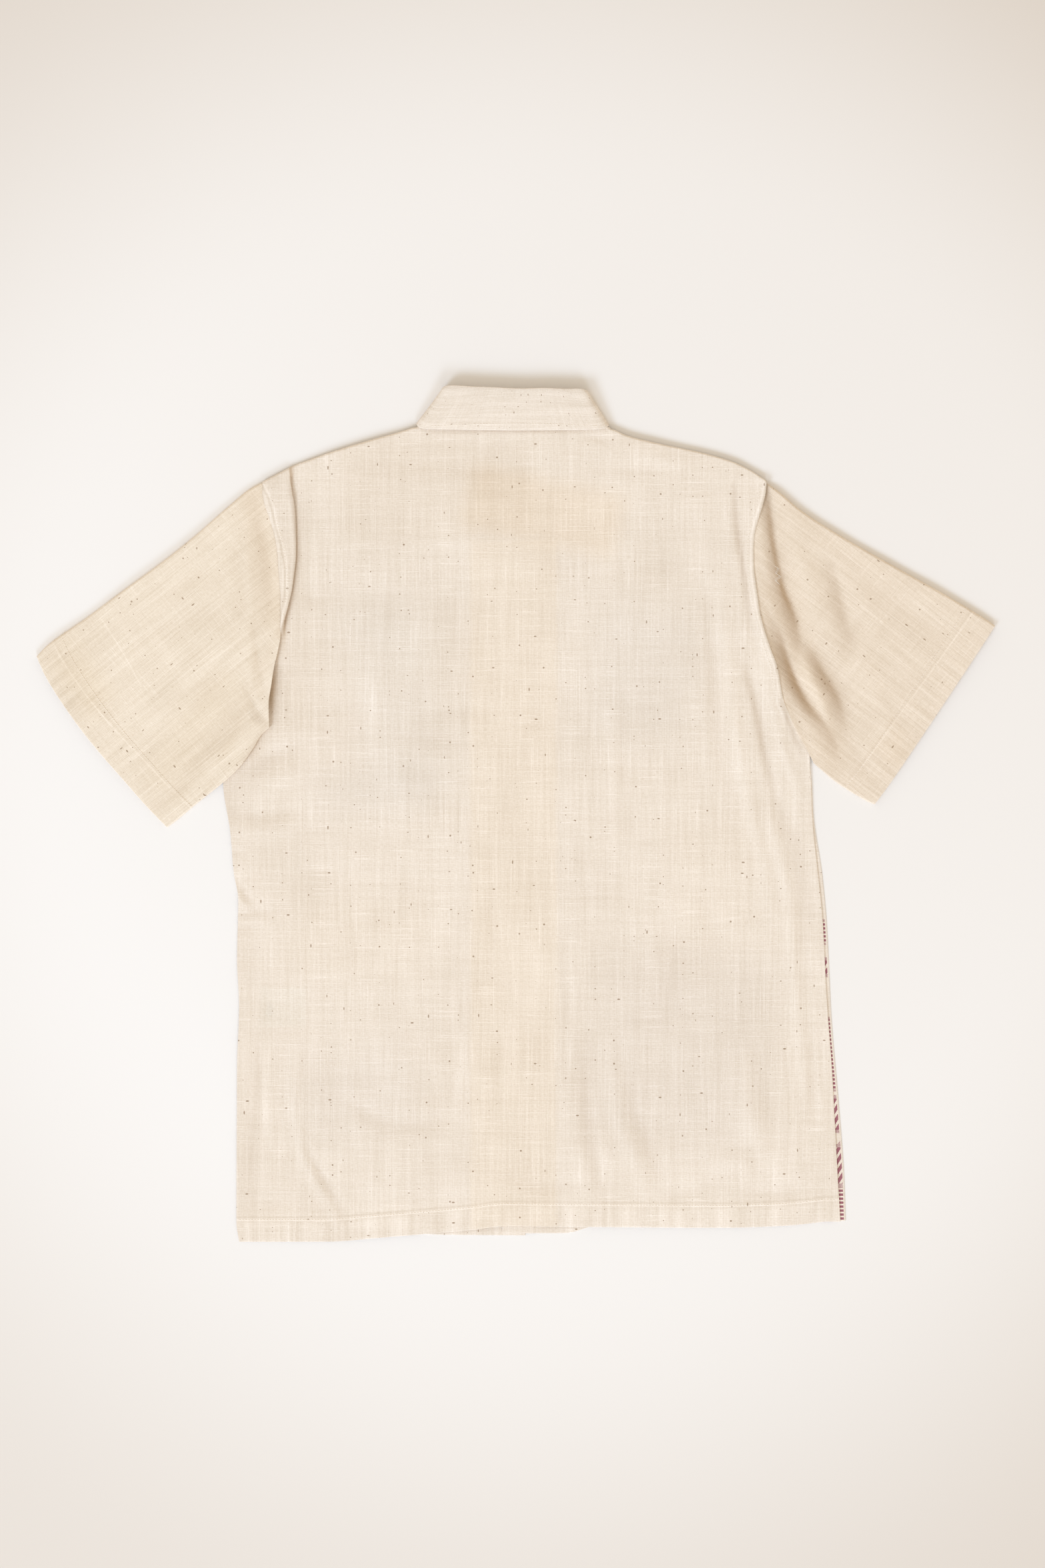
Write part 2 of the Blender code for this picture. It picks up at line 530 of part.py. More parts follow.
def collar_grid():
    """The stand collar, a band folded round the neck: across the band, then along it."""
    lines = []
    half = COLLAR_CLOTH / 2
    for part in np.linspace(0, 1, COLLAR_ROWS):
        line = []
        for base_x, base_y, top_x, top_y, turned in COLLAR:
            x = base_x + (top_x - base_x) * part
            y = base_y + (top_y - base_y) * part
            upper = COLLAR_BASE_LEVEL + (COLLAR_TOP_LEVEL - COLLAR_BASE_LEVEL) * part
            share = 0.5 - 0.5 * math.cos(math.radians(turned))
            line.append((x * MM, y * MM, half + (upper - half) * share))
        lines.append(line)
    return np.array(lines)


def wall_object(name, grid, thickness, colour, tube=False, flip=False):
    """Give a surface its thickness: a closed wall with plain edges."""
    grid = grid + np.array(CENTRE_SHIFT)
    columns, rows = grid.shape[:2]
    normals = surface_normals(grid, tube)
    if flip:
        normals = -normals
    mesh = bmesh.new()
    outer = [[mesh.verts.new(Vector(grid[i, j] + normals[i, j] * thickness / 2)) for j in range(rows)]
             for i in range(columns)]
    inner = [[mesh.verts.new(Vector(grid[i, j] - normals[i, j] * thickness / 2)) for j in range(rows)]
             for i in range(columns)]
    last = columns if tube else columns - 1
    for i in range(last):
        k = (i + 1) % columns
        for j in range(rows - 1):
            mesh.faces.new((outer[i][j], outer[k][j], outer[k][j + 1], outer[i][j + 1]))
            mesh.faces.new((inner[i][j], inner[i][j + 1], inner[k][j + 1], inner[k][j]))
        mesh.faces.new((outer[i][0], inner[i][0], inner[k][0], outer[k][0]))
        mesh.faces.new((outer[i][-1], outer[k][-1], inner[k][-1], inner[i][-1]))
    if not tube:
        for j in range(rows - 1):
            mesh.faces.new((outer[0][j], outer[0][j + 1], inner[0][j + 1], inner[0][j]))
            mesh.faces.new((outer[-1][j], inner[-1][j], inner[-1][j + 1], outer[-1][j + 1]))
    bmesh.ops.recalc_face_normals(mesh, faces=mesh.faces)
    bmesh.ops.triangulate(mesh, faces=mesh.faces)
    data = bpy.data.meshes.new(name)
    mesh.to_mesh(data)
    mesh.free()
    data.shade_smooth()
    data.set_sharp_from_angle(angle=math.radians(50))
    data.materials.append(plain_material(name, colour, 0.9))
    shape = bpy.data.objects.new(name, data)
    bpy.context.collection.objects.link(shape)
    return shape


def surface_normals(grid, tube):
    """Unit normals from the neighbouring points of a grid."""
    if tube:
        across = np.roll(grid, -1, axis=0) - np.roll(grid, 1, axis=0)
    else:
        across = np.empty_like(grid)
        across[1:-1] = unit(grid[2:] - grid[1:-1]) + unit(grid[1:-1] - grid[:-2])
        across[0] = grid[1] - grid[0]
        across[-1] = grid[-1] - grid[-2]
    along = np.empty_like(grid)
    along[:, 1:-1] = unit(grid[:, 2:] - grid[:, 1:-1]) + unit(grid[:, 1:-1] - grid[:, :-2])
    along[:, 0] = grid[:, 1] - grid[:, 0]
    along[:, -1] = grid[:, -1] - grid[:, -2]
    return unit(np.cross(across, along))


def unit(vectors):
    return vectors / np.maximum(np.linalg.norm(vectors, axis=-1, keepdims=True), 1e-12)


def plain_material(name, colour, roughness):
    material = bpy.data.materials.new(name)
    material.use_nodes = True
    shader = material.node_tree.nodes["Principled BSDF"]
    shader.inputs["Base Color"].default_value = (*colour, 1)
    shader.inputs["Roughness"].default_value = roughness
    shader.inputs["Metallic"].default_value = 0.0
    return material


def button(number, y):
    """A plain disc with a rounded edge, lying on the floor under the placket."""
    mesh = bmesh.new()
    radius = BUTTON_DIAMETER / 2
    profile = (
        (0.0, 0.0), (radius * BUTTON_FACES[0], 0.0), (radius, BUTTON_RIM[0]), (radius, BUTTON_RIM[1]),
        (radius * BUTTON_FACES[1], BUTTON_THICKNESS), (0.0, BUTTON_THICKNESS),
    )
    points = [mesh.verts.new((r, 0, z)) for r, z in profile]
    edges = [mesh.edges.new((a, b)) for a, b in zip(points, points[1:])]
    bmesh.ops.spin(
        mesh, geom=points + edges, cent=(0, 0, 0), axis=(0, 0, 1), angle=math.tau, steps=BUTTON_SIDES,
        use_merge=True, use_duplicate=False,
    )
    bmesh.ops.remove_doubles(mesh, verts=mesh.verts, dist=1e-6)
    bmesh.ops.recalc_face_normals(mesh, faces=mesh.faces)
    data = bpy.data.meshes.new(f"button_{number}")
    mesh.to_mesh(data)
    mesh.free()
    data.materials.append(plain_material(f"button_{number}", BUTTON_COLOUR, 0.4))
    shape = bpy.data.objects.new(f"button_{number}", data)
    shape.location = (BUTTON_X + CENTRE_SHIFT[0], y + CENTRE_SHIFT[1], BUTTON_CLEARANCE)
    bpy.context.collection.objects.link(shape)
    return shape


def main():
    for old in list(bpy.data.objects):
        bpy.data.objects.remove(old, do_unlink=True)
    back = back_grid()
    wall_object("back", back, CLOTH, FABRIC_COLOUR)
    front_left = flat_front(FRONT_LEFT_HEM, left_edge, NECK_LEFT, True)
    front_right = flat_front(FRONT_RIGHT_HEM, front_right_edge, NECK_RIGHT, False)
    wall_object("front_left", front_left, CLOTH, FABRIC_COLOUR)
    wall_object("front_right", front_right, CLOTH, FABRIC_COLOUR)
    wall_object("sleeve_left", sleeve_grid(back, True), CLOTH, SLEEVE_COLOUR, tube=True)
    wall_object("sleeve_right", sleeve_grid(back, False), CLOTH, SLEEVE_COLOUR, tube=True, flip=True)
    wall_object("collar", collar_grid(), COLLAR_CLOTH, FABRIC_COLOUR)
    for number, y in enumerate(button_places(), start=1):
        button(number, y)


main()
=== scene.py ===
import math

import bmesh
import bpy
import numpy as np
from mathutils import Matrix, Vector
from mathutils.bvhtree import BVHTree


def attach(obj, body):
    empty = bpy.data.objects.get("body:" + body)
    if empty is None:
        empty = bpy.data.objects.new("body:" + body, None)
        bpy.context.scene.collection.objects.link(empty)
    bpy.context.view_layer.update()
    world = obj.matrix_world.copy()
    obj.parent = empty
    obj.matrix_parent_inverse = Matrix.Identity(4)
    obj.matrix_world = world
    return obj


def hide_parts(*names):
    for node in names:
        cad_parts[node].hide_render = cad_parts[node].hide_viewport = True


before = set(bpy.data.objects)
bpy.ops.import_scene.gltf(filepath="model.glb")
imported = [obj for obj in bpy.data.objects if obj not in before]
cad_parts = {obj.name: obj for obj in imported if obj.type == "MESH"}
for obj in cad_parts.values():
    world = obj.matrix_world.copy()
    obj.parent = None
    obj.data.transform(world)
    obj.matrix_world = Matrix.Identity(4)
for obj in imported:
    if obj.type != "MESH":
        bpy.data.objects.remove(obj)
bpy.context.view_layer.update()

# The shirt lies back up with its collar towards +Y. Tables and creases are in millimetres.
mm = 0.001
centreShift = np.array((0.00033, 0.00016, 0.0))   # metres from the tables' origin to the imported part's
cell = {"body": 3.45, "sleeve": 3.4, "front": 4.2}   # spacing of the cloth's mesh, mm
noLine = 99.0   # millimetres that say that no line is near


# Curves and edges

def smoothStep(at):
    at = np.clip(at, 0.0, 1.0)
    return at * at * (3 - 2 * at)


def curve(rows, at, column):
    # a smooth curve through one column of a table, without overshoot
    table = np.array(rows, dtype=float)[:, (0, column)]
    places, values = table.T
    gaps = np.diff(places)
    slopes = np.diff(values) / gaps
    tangents = np.concatenate((slopes[:1], np.zeros(len(gaps) - 1), slopes[-1:]))
    for k in range(1, len(gaps)):
        if slopes[k - 1] * slopes[k] > 0:
            first, second = 2 * gaps[k] + gaps[k - 1], gaps[k] + 2 * gaps[k - 1]
            tangents[k] = (first + second) / (first / slopes[k - 1] + second / slopes[k])
    at = np.clip(at, places[0], places[-1])
    k = np.clip(np.searchsorted(places, at, side="right") - 1, 0, len(gaps) - 1)
    t = (at - places[k]) / gaps[k]
    start, end = values[k], values[k + 1]
    rise = gaps[k] * (tangents[k] * (t ** 3 - 2 * t ** 2 + t) + tangents[k + 1] * (t ** 3 - t ** 2))
    return start + (end - start) * (3 * t ** 2 - 2 * t ** 3) + rise


def plan(rows, at):
    return np.stack((curve(rows, at, 1), curve(rows, at, 2)), axis=-1) * mm


def smoothLine(points, count):
    # evenly spaced points on a rounded line through the given ones
    points = np.array(points, dtype=float)
    steps = np.linalg.norm(np.diff(points, axis=0), axis=1)
    travelled = np.concatenate(([0], np.cumsum(steps)))
    rows = np.column_stack((travelled, points))
    at = np.linspace(0, travelled[-1], count)
    return np.stack([curve(rows, at, 1 + axis) for axis in range(points.shape[1])], axis=-1)


def onLine(points, at):
    points = np.asarray(points, dtype=float)
    steps = np.linalg.norm(np.diff(points, axis=0), axis=1)
    travelled = np.concatenate(([0], np.cumsum(steps))) / steps.sum()
    return np.stack([np.interp(at, travelled, points[:, axis]) for axis in (0, 1)], axis=-1)


def coons(bottom, top, left, right, across, up):
    # the patch that fills four edges
    a = np.asarray(across, dtype=float)[..., None]
    straight = (
        (1 - a) * (1 - up) * bottom(0.0) + a * (1 - up) * bottom(1.0)
        + (1 - a) * up * top(0.0) + a * up * top(1.0)
    )
    return (
        (1 - up) * bottom(across) + up * top(across)
        + (1 - a) * left(up) + a * right(up) - straight
    )


def unit(vectors):
    return vectors / np.maximum(np.linalg.norm(vectors, axis=-1, keepdims=True), 1e-12)


# Creases

creaseForm = {"end": 0.002, "blunt": 0.06, "rounded": 0.7, "reach": 3}   # how lines and creases end
waveForm = {"stretch": 2.3, "phases": 1.7}   # across a wave, beside what it has along it


def nearLine(x, y, line):
    # distance to a line, positive on its left, and how far along it
    best = np.full(x.shape, 1e9)
    side = np.zeros(x.shape)
    along = np.zeros(x.shape)
    steps = np.linalg.norm(np.diff(line, axis=0), axis=1)
    total = steps.sum()
    before = 0.0
    for start, end, length in zip(line, line[1:], steps):
        run = (end - start) / length
        dx, dy = x - start[0], y - start[1]
        at = np.clip(dx * run[0] + dy * run[1], 0, length)
        off = np.hypot(dx - at * run[0], dy - at * run[1])
        closer = off < best
        best = np.where(closer, off, best)
        side = np.where(closer, np.sign(run[0] * dy - run[1] * dx), side)
        along = np.where(closer, (before + at) / total, along)
        before += length
    return best, side, along


def signedAway(x, y, points):
    # millimetres to a line, positive on its left, and noLine beyond its ends
    best, side, along = nearLine(x / mm, y / mm, smoothLine(points, 8 * len(points)))
    side = np.where(side == 0, 1.0, side)
    end = creaseForm["end"]
    return side * np.where((along < end) | (along > 1 - end), noLine, best)


def creaseHeight(x, y, creases):
    # each crease: height, width on its left, width on its right, points
    x, y = x / mm, y / mm
    total = np.zeros(x.shape)
    for height, leftWidth, rightWidth, points in creases:
        line = smoothLine(points, 4 * len(points))
        reach = creaseForm["reach"] * max(leftWidth, rightWidth)
        low, high = line.min(axis=0) - reach, line.max(axis=0) + reach
        near = (x > low[0]) & (x < high[0]) & (y > low[1]) & (y < high[1])
        if not near.any():
            continue
        best, side, along = nearLine(x[near], y[near], line)
        width = np.where(side > 0, leftWidth, rightWidth)
        along = creaseForm["blunt"] + (1 - 2 * creaseForm["blunt"]) * along
        ends = np.sin(np.pi * np.clip(along, 0, 1)) ** creaseForm["rounded"]
        total[near] += height * ends * np.exp(-(best / width) ** 2)
    return total


def softWaves(x, y, waves):
    # each wave: height mm, length mm, direction in degrees, phase
    total = np.zeros(np.shape(x))
    for height, length, direction, phase in waves:
        turn = math.radians(direction)
        along = (x * math.cos(turn) + y * math.sin(turn)) / (length * mm)
        across = (y * math.cos(turn) - x * math.sin(turn)) / (length * waveForm["stretch"] * mm)
        crosswise = np.cos(math.tau * across + waveForm["phases"] * phase)
        total += height * mm * np.sin(math.tau * along + phase) * crosswise
    return total


# Turning a surface into cloth

def surfaceNormals(grid, tube):
    if tube:
        across = np.roll(grid, -1, axis=0) - np.roll(grid, 1, axis=0)
    else:
        across = np.empty_like(grid)
        across[1:-1] = unit(grid[2:] - grid[1:-1]) + unit(grid[1:-1] - grid[:-2])
        across[0] = grid[1] - grid[0]
        across[-1] = grid[-1] - grid[-2]
    along = np.empty_like(grid)
    along[:, 1:-1] = unit(grid[:, 2:] - grid[:, 1:-1]) + unit(grid[:, 1:-1] - grid[:, :-2])
    along[:, 0] = grid[:, 1] - grid[:, 0]
    along[:, -1] = grid[:, -1] - grid[:, -2]
    return unit(np.cross(across, along))


edgeForm = {"steps": (0.07, 0.2), "share": (0.4, 0.8)}   # how a cut edge is rounded
lineMarks = ("hemLine", "seamLine", "topLine")   # distances in mm from lines that the cotton shows


def finerEdges(values, axis, share=None):
    # two more lines of points beside each edge, where share thins the cloth
    values = np.moveaxis(values, axis, 0)
    first, second = edgeForm["steps"]
    low = [values[0] + (values[1] - values[0]) * at for at in (0.0, first, second)]
    high = [values[-1] + (values[-2] - values[-1]) * at for at in (second, first, 0.0)]
    out = np.concatenate((low, values[1:-1], high))
    if share:
        for row, factor in ((0, share[0]), (1, share[1]), (-1, share[0]), (-2, share[1])):
            out[row] = out[row] * factor
    return np.moveaxis(out, 0, axis)


def shellFaces(columns, rows, tube):
    # both sides of a sheet of points, then the rim that joins them
    count = columns * rows
    number = np.arange(count).reshape(columns, rows)
    after = np.roll(number, -1, axis=0) if tube else number[1:]
    before = number if tube else number[:-1]
    faces = []

    def join(*corners):
        faces.append(np.stack(corners, axis=-1).reshape(-1, 4))

    a, b, c, d = before[:, :-1], after[:, :-1], after[:, 1:], before[:, 1:]
    join(a, b, c, d)
    join(a + count, d + count, c + count, b + count)
    first, second = before[:, 0], after[:, 0]
    join(first, first + count, second + count, second)
    first, second = before[:, -1], after[:, -1]
    join(first, second, second + count, first + count)
    if not tube:
        first, second = number[0, :-1], number[0, 1:]
        join(first, second, second + count, first + count)
        first, second = number[-1, :-1], number[-1, 1:]
        join(first, first + count, second + count, second)
    return np.concatenate(faces)


def addMark(mesh, name, values):
    # a value at each point of the sheet, the same on both sides of the shell
    isVector = values.ndim == 3
    both = np.tile(values.reshape(-1, 3), (2, 1)) if isVector else np.tile(values.ravel(), 2)
    layer = mesh.attributes.new(name, "FLOAT_VECTOR" if isVector else "FLOAT", "POINT")
    layer.data.foreach_set("vector" if isVector else "value", both.astype(np.float32).ravel())


def clothObject(name, grid, thickness, grain, marks, tube=False):
    # a closed shell round a grid of points: grain places its weave, in metres, and marks are for its cotton
    thickness = np.broadcast_to(thickness, grid.shape[:2]).astype(float)
    marks = {**{key: np.full(grid.shape[:2], noLine) for key in lineMarks}, **marks}
    for axis in ((1,) if tube else (1, 0)):
        grid, grain = finerEdges(grid, axis), finerEdges(grain, axis)
        thickness = finerEdges(thickness, axis, edgeForm["share"])
        marks = {key: finerEdges(value, axis) for key, value in marks.items()}
    grid = grid + centreShift
    half = surfaceNormals(grid, tube) * thickness[..., None] / 2
    points = np.concatenate(((grid + half).reshape(-1, 3), (grid - half).reshape(-1, 3)))
    faces = shellFaces(*grid.shape[:2], tube)
    mesh = bpy.data.meshes.new(name)
    mesh.from_pydata(points.tolist(), [], faces.tolist())
    layer = mesh.uv_layers.new(name="grain")
    places = np.concatenate((grain.reshape(-1, 2), grain.reshape(-1, 2)))
    layer.uv.foreach_set("vector", places[faces.ravel()].astype(np.float32).ravel())
    for key, value in marks.items():
        addMark(mesh, key, value)
    work = bmesh.new()
    work.from_mesh(mesh)
    bmesh.ops.recalc_face_normals(work, faces=work.faces)
    work.to_mesh(mesh)
    work.free()
    mesh.shade_smooth()
    shape = bpy.data.objects.new(name, mesh)
    bpy.context.collection.objects.link(shape)
    return shape


# Tables of the body's outline

backHem = (
    (0.00, -258.2, -397.9), (0.14, -182.6, -397.7), (0.23, -133, -394), (0.31, -90, -390.6),
    (0.40, -42.5, -386.6), (0.47, -8, -383.1), (0.56, 46.2, -383.7), (0.80, 201.8, -384.7),
    (0.91, 263.8, -382.9), (1.00, 302.2, -379.1),
)
backShoulder = (
    (0.00, -207, 323.9), (0.06, -190, 330.2), (0.14, -162, 339.8), (0.23, -131.8, 348.9),
    (0.29, -104, 356.6), (0.31, -95.6, 359.4), (0.33, -89.6, 360), (0.37, -72, 360.6),
    (0.49, -3.4, 360.6), (0.63, 70, 360.4), (0.67, 84, 359.2), (0.69, 91, 357.6),
    (0.715, 102.6, 352.4), (0.80, 139.8, 343.2), (0.87, 173, 336.2), (0.94, 203, 327.2),
    (1.00, 219.4, 319.2),
)
leftSide = (
    (0.000, -258.2, -397.9), (0.024, -260.7, -380.4), (0.060, -260.7, -352.5), (0.160, -260.3, -282),
    (0.230, -260.1, -234.7), (0.310, -258.2, -178.9), (0.370, -260.1, -135.5), (0.415, -259.5, -104.5),
    (0.450, -258.9, -79.7), (0.485, -263.2, -54.9), (0.540, -266.3, -17.7), (0.605, -273.1, 29.4),
    (0.655, -258, 63.2), (0.705, -242, 99.8), (0.755, -225.6, 136.7),
)
rightSide = (
    (0.000, 302.2, -379.1), (0.024, 301, -360.5), (0.115, 297.3, -293.6), (0.185, 294.8, -245.2),
    (0.295, 289.2, -168.9), (0.400, 285.5, -96.4), (0.460, 281.2, -54.9), (0.530, 276.2, -5.3),
    (0.590, 274.4, 36.3), (0.615, 272.5, 53), (0.655, 258.2, 81.5), (0.690, 247.7, 105.1),
)
# up, seam x and y, width of the strip beside the seam, turn of the tuck in degrees, arc, depth
leftArmhole = (
    (0.755, -225.6, 136.7, 3, 0, 2.5, 4), (0.798, -220.4, 165, 1.4, 40, 2, 1.5),
    (0.820, -219.8, 180.1, 3, 110, 1.8, 1), (0.840, -219.7, 191, 5.6, 150, 1.8, 1.6),
    (0.860, -219.8, 204, 9.2, 178, 1.7, 4), (0.880, -221, 220, 13, 180, 1.7, 7),
    (0.902, -222.3, 237, 16.4, 180, 1.7, 8), (0.925, -224.4, 255, 18.6, 180, 1.7, 8),
    (0.950, -229.6, 274, 22.4, 172, 1.7, 6), (0.972, -235.2, 291, 25, 120, 1.7, 0.9),
    (0.986, -236.4, 300, 24.6, 70, 2, 0.8), (1.000, -236.5, 309.1, 23.6, 36, 2.2, 0.8),
)
rightArmhole = (
    (0.690, 247.7, 105.1), (0.710, 245.2, 119.3), (0.730, 243.6, 135.5), (0.755, 236.4, 156),
    (0.798, 227.2, 188.2), (0.820, 225, 203), (0.840, 222.9, 217), (0.860, 221.7, 230.9),
    (0.880, 221.5, 243), (0.902, 222, 256.5), (0.925, 224.8, 271), (0.950, 229.6, 287),
    (0.972, 232.4, 299), (0.986, 233, 304.5), (1.000, 233.4, 309.7),
)
frontRightSide = (
    (0.000, 306.6, -378.5), (0.060, 305, -335), (0.160, 299.8, -265.7), (0.260, 293.6, -193.1),
    (0.400, 288.6, -96.4), (0.460, 285, -58), (0.530, 276.9, -1), (0.590, 274.8, 36.3),
    (0.615, 272.5, 53), (0.655, 258.2, 81.5), (0.690, 247.7, 105.1),
)
frontLeftHem = (
    (0, -255.6, -395.6), (0.3, -182.6, -395.9), (0.6, -108.2, -389.9), (0.8, -67.9, -391.5),
    (1, 8.4, -392.1),
)
frontRightHem = (
    (0, -13.3, -390.1), (0.2, 45, -390), (0.34, 77.8, -382.9), (0.65, 201.8, -381.9),
    (1, 306.6, -378.5),
)
neckLeft = (
    (-104, 355.6), (-96, 356.8), (-90.4, 354.6), (-85.5, 339.8), (-74.4, 319.5), (-52.7, 297.7),
    (-24.6, 283.6), (-8, 282.4),
)
neckRight = (
    (98, 351.8), (90, 355), (84.2, 353.4), (80.5, 339.8), (69.4, 319.5), (47.7, 297.7), (18.6, 283.6),
    (2, 282.4),
)

levels = {   # millimetres, to the middle of the cloth
    "floor": 0.5, "lap": 1.8, "lapSlope": 14.0, "lapFull": 4.0, "side": 1.85, "centre": 5.4,
    "hemCentre": 3.4, "leftArmhole": 0.4, "rightArmhole": 4.2, "leftShoulder": 1.1, "dome": 2.4,
    "seamGap": 0.3,
}
rises = {   # where the back starts to rise, as a share of its length, and over how much of it
    "hem": (0.0, 0.10), "armholes": (0.60, 0.15), "ridge": (0.60, 0.10), "shoulders": (0.95, 0.05),
    "seams": (0.88, 0.12),
}
placket = {   # the ridge over the buttons ends that far below the lowest one
    "left": -13.3, "right": 8.4, "ridge": 2.3, "halfWidth": 14.5, "slope": 20.0,
    "below": 45, "endSlope": 30,
}
buttons = {"x": -2.5, "firstY": 262.0, "pitch": 88.0, "count": 6}
shoulder = {
    "radius": 2.45, "share": 0.8, "least": 0.1, "rim": 0.6, "rimOut": 1.2, "tuckRise": 14.8,
    "ridgeRise": 9.5, "length": 707.0, "panel": 530, "neckMargin": 3,
}
collarEnds = (5, 11)   # the rows of backShoulder where the collar starts and ends
rollTurns = (0, 12, 25, 38, 50, 61, 72, 81, 90)
tuckForm = {"strip": 7, "bend": 8, "depth": 4, "shaded": slice(12, 28)}   # steps of each part, and the columns under the fold darkened with painted shade
# Where the back's right edge reaches out over the sleeve, as shares of its length, and how far
underarm = {"from": 0.600, "fromSlope": 0.02, "to": 0.735, "toSlope": 0.03, "out": 1.7}


def rising(up, name):
    start, over = rises[name]
    return smoothStep((up - start) / over)


def leftEdge(up):
    return plan(leftSide if up < leftArmhole[0][0] else leftArmhole, up)


def rightEdge(up):
    return plan(rightSide if up < rightArmhole[0][0] else rightArmhole, up)


def frontRightEdge(up):
    return plan(frontRightSide if up < rightArmhole[0][0] else rightArmhole, up)


def buttonRidge(x, y):
    lowest = (buttons["firstY"] - buttons["pitch"] * (buttons["count"] - 1)) * mm
    lengthways = smoothStep((y - lowest + placket["below"] * mm) / (placket["endSlope"] * mm))
    beside = np.abs(x - buttons["x"] * mm) / mm - placket["halfWidth"]
    return placket["ridge"] * mm * lengthways * smoothStep(1 - beside / placket["slope"])


def backLevel(across, up):
    side = levels["side"]
    right = side + (levels["rightArmhole"] - side) * rising(up, "armholes")
    left = side + levels["leftArmhole"] * rising(up, "armholes")
    left = left + levels["leftShoulder"] * rising(up, "shoulders")
    edges = (1 - across) * left + across * right
    centre = levels["hemCentre"] + (levels["centre"] - levels["hemCentre"]) * rising(up, "hem")
    flat = np.abs(2 * across - 1) ** levels["dome"]
    return (edges + (centre - 0.5 * (left + right)) * (1 - flat)) * mm


def tuckSection(up):
    # offsets sideways and in height of the fold beside the left armhole
    at = max(up, leftArmhole[0][0])
    width, turn, arc, depth = (float(curve(leftArmhole, at, column)) for column in (3, 4, 5, 6))
    turn = math.radians(turn)
    strip, bend, down = (tuckForm[part] for part in ("strip", "bend", "depth"))
    bends = [(arc / bend, turn * (k + 0.5) / bend) for k in range(bend)]
    runs = [(width / strip, 0.0)] * strip + bends + [(depth / down, turn)] * down + bends[::-1]
    lengths, angles = np.array(runs).T
    sideways = np.concatenate(([0], np.cumsum(lengths * np.cos(angles))))
    height = np.concatenate(([0], -np.cumsum(lengths * np.sin(angles))))
    return sideways * mm, (height - height[-1]) * mm


def nearShoulder(up):
    return float(rising(up, "seams"))


def panelLeft(at):
    rise = shoulder["tuckRise"] * mm * nearShoulder(at)
    return leftEdge(at) + np.array((levels["seamGap"] * mm + tuckSection(at)[0][-1], rise))


def panelRight(at):
    rise = shoulder["ridgeRise"] * mm * nearShoulder(at)
    return rightEdge(at) + np.array((-(levels["seamGap"] + ridgeShape[0][0]) * mm, rise))


def shifted(rows, at, first, final):
    start, end = plan(rows, 0.0), plan(rows, 1.0)
    share = np.asarray(at, dtype=float)[..., None]
    return plan(rows, at) + (1 - share) * (first - start) + share * (final - end)


# The seam beside the right armhole: distance from the seam and height of its raised strip
ridgeShape = (
    (14, 0), (11, 0.05), (8.6, 0.22), (7, 0.62), (6, 1.15), (5, 1.42), (3.8, 1.5),
    (2.5, 1.42), (1.2, 1.3), (0, 1.2),
)
backForm = {
    "cloth": 0.70, "hem": 0.85, "hemDepth": 20.5, "relief": 2.3, "lowest": 1.3,
    "topstitch": 3.2, "leftSeamFrom": 170, "foldFrom": 160, "foldOver": 30, "foldPaintedShade": (0.14, 0.19, 0.24),
    "waves": (
        (0.28, 143, 78, 0.4), (0.22, 96, 12, 2.1), (0.16, 61, 103, 4.0), (0.10, 41, 64, 1.2),
    ),
}
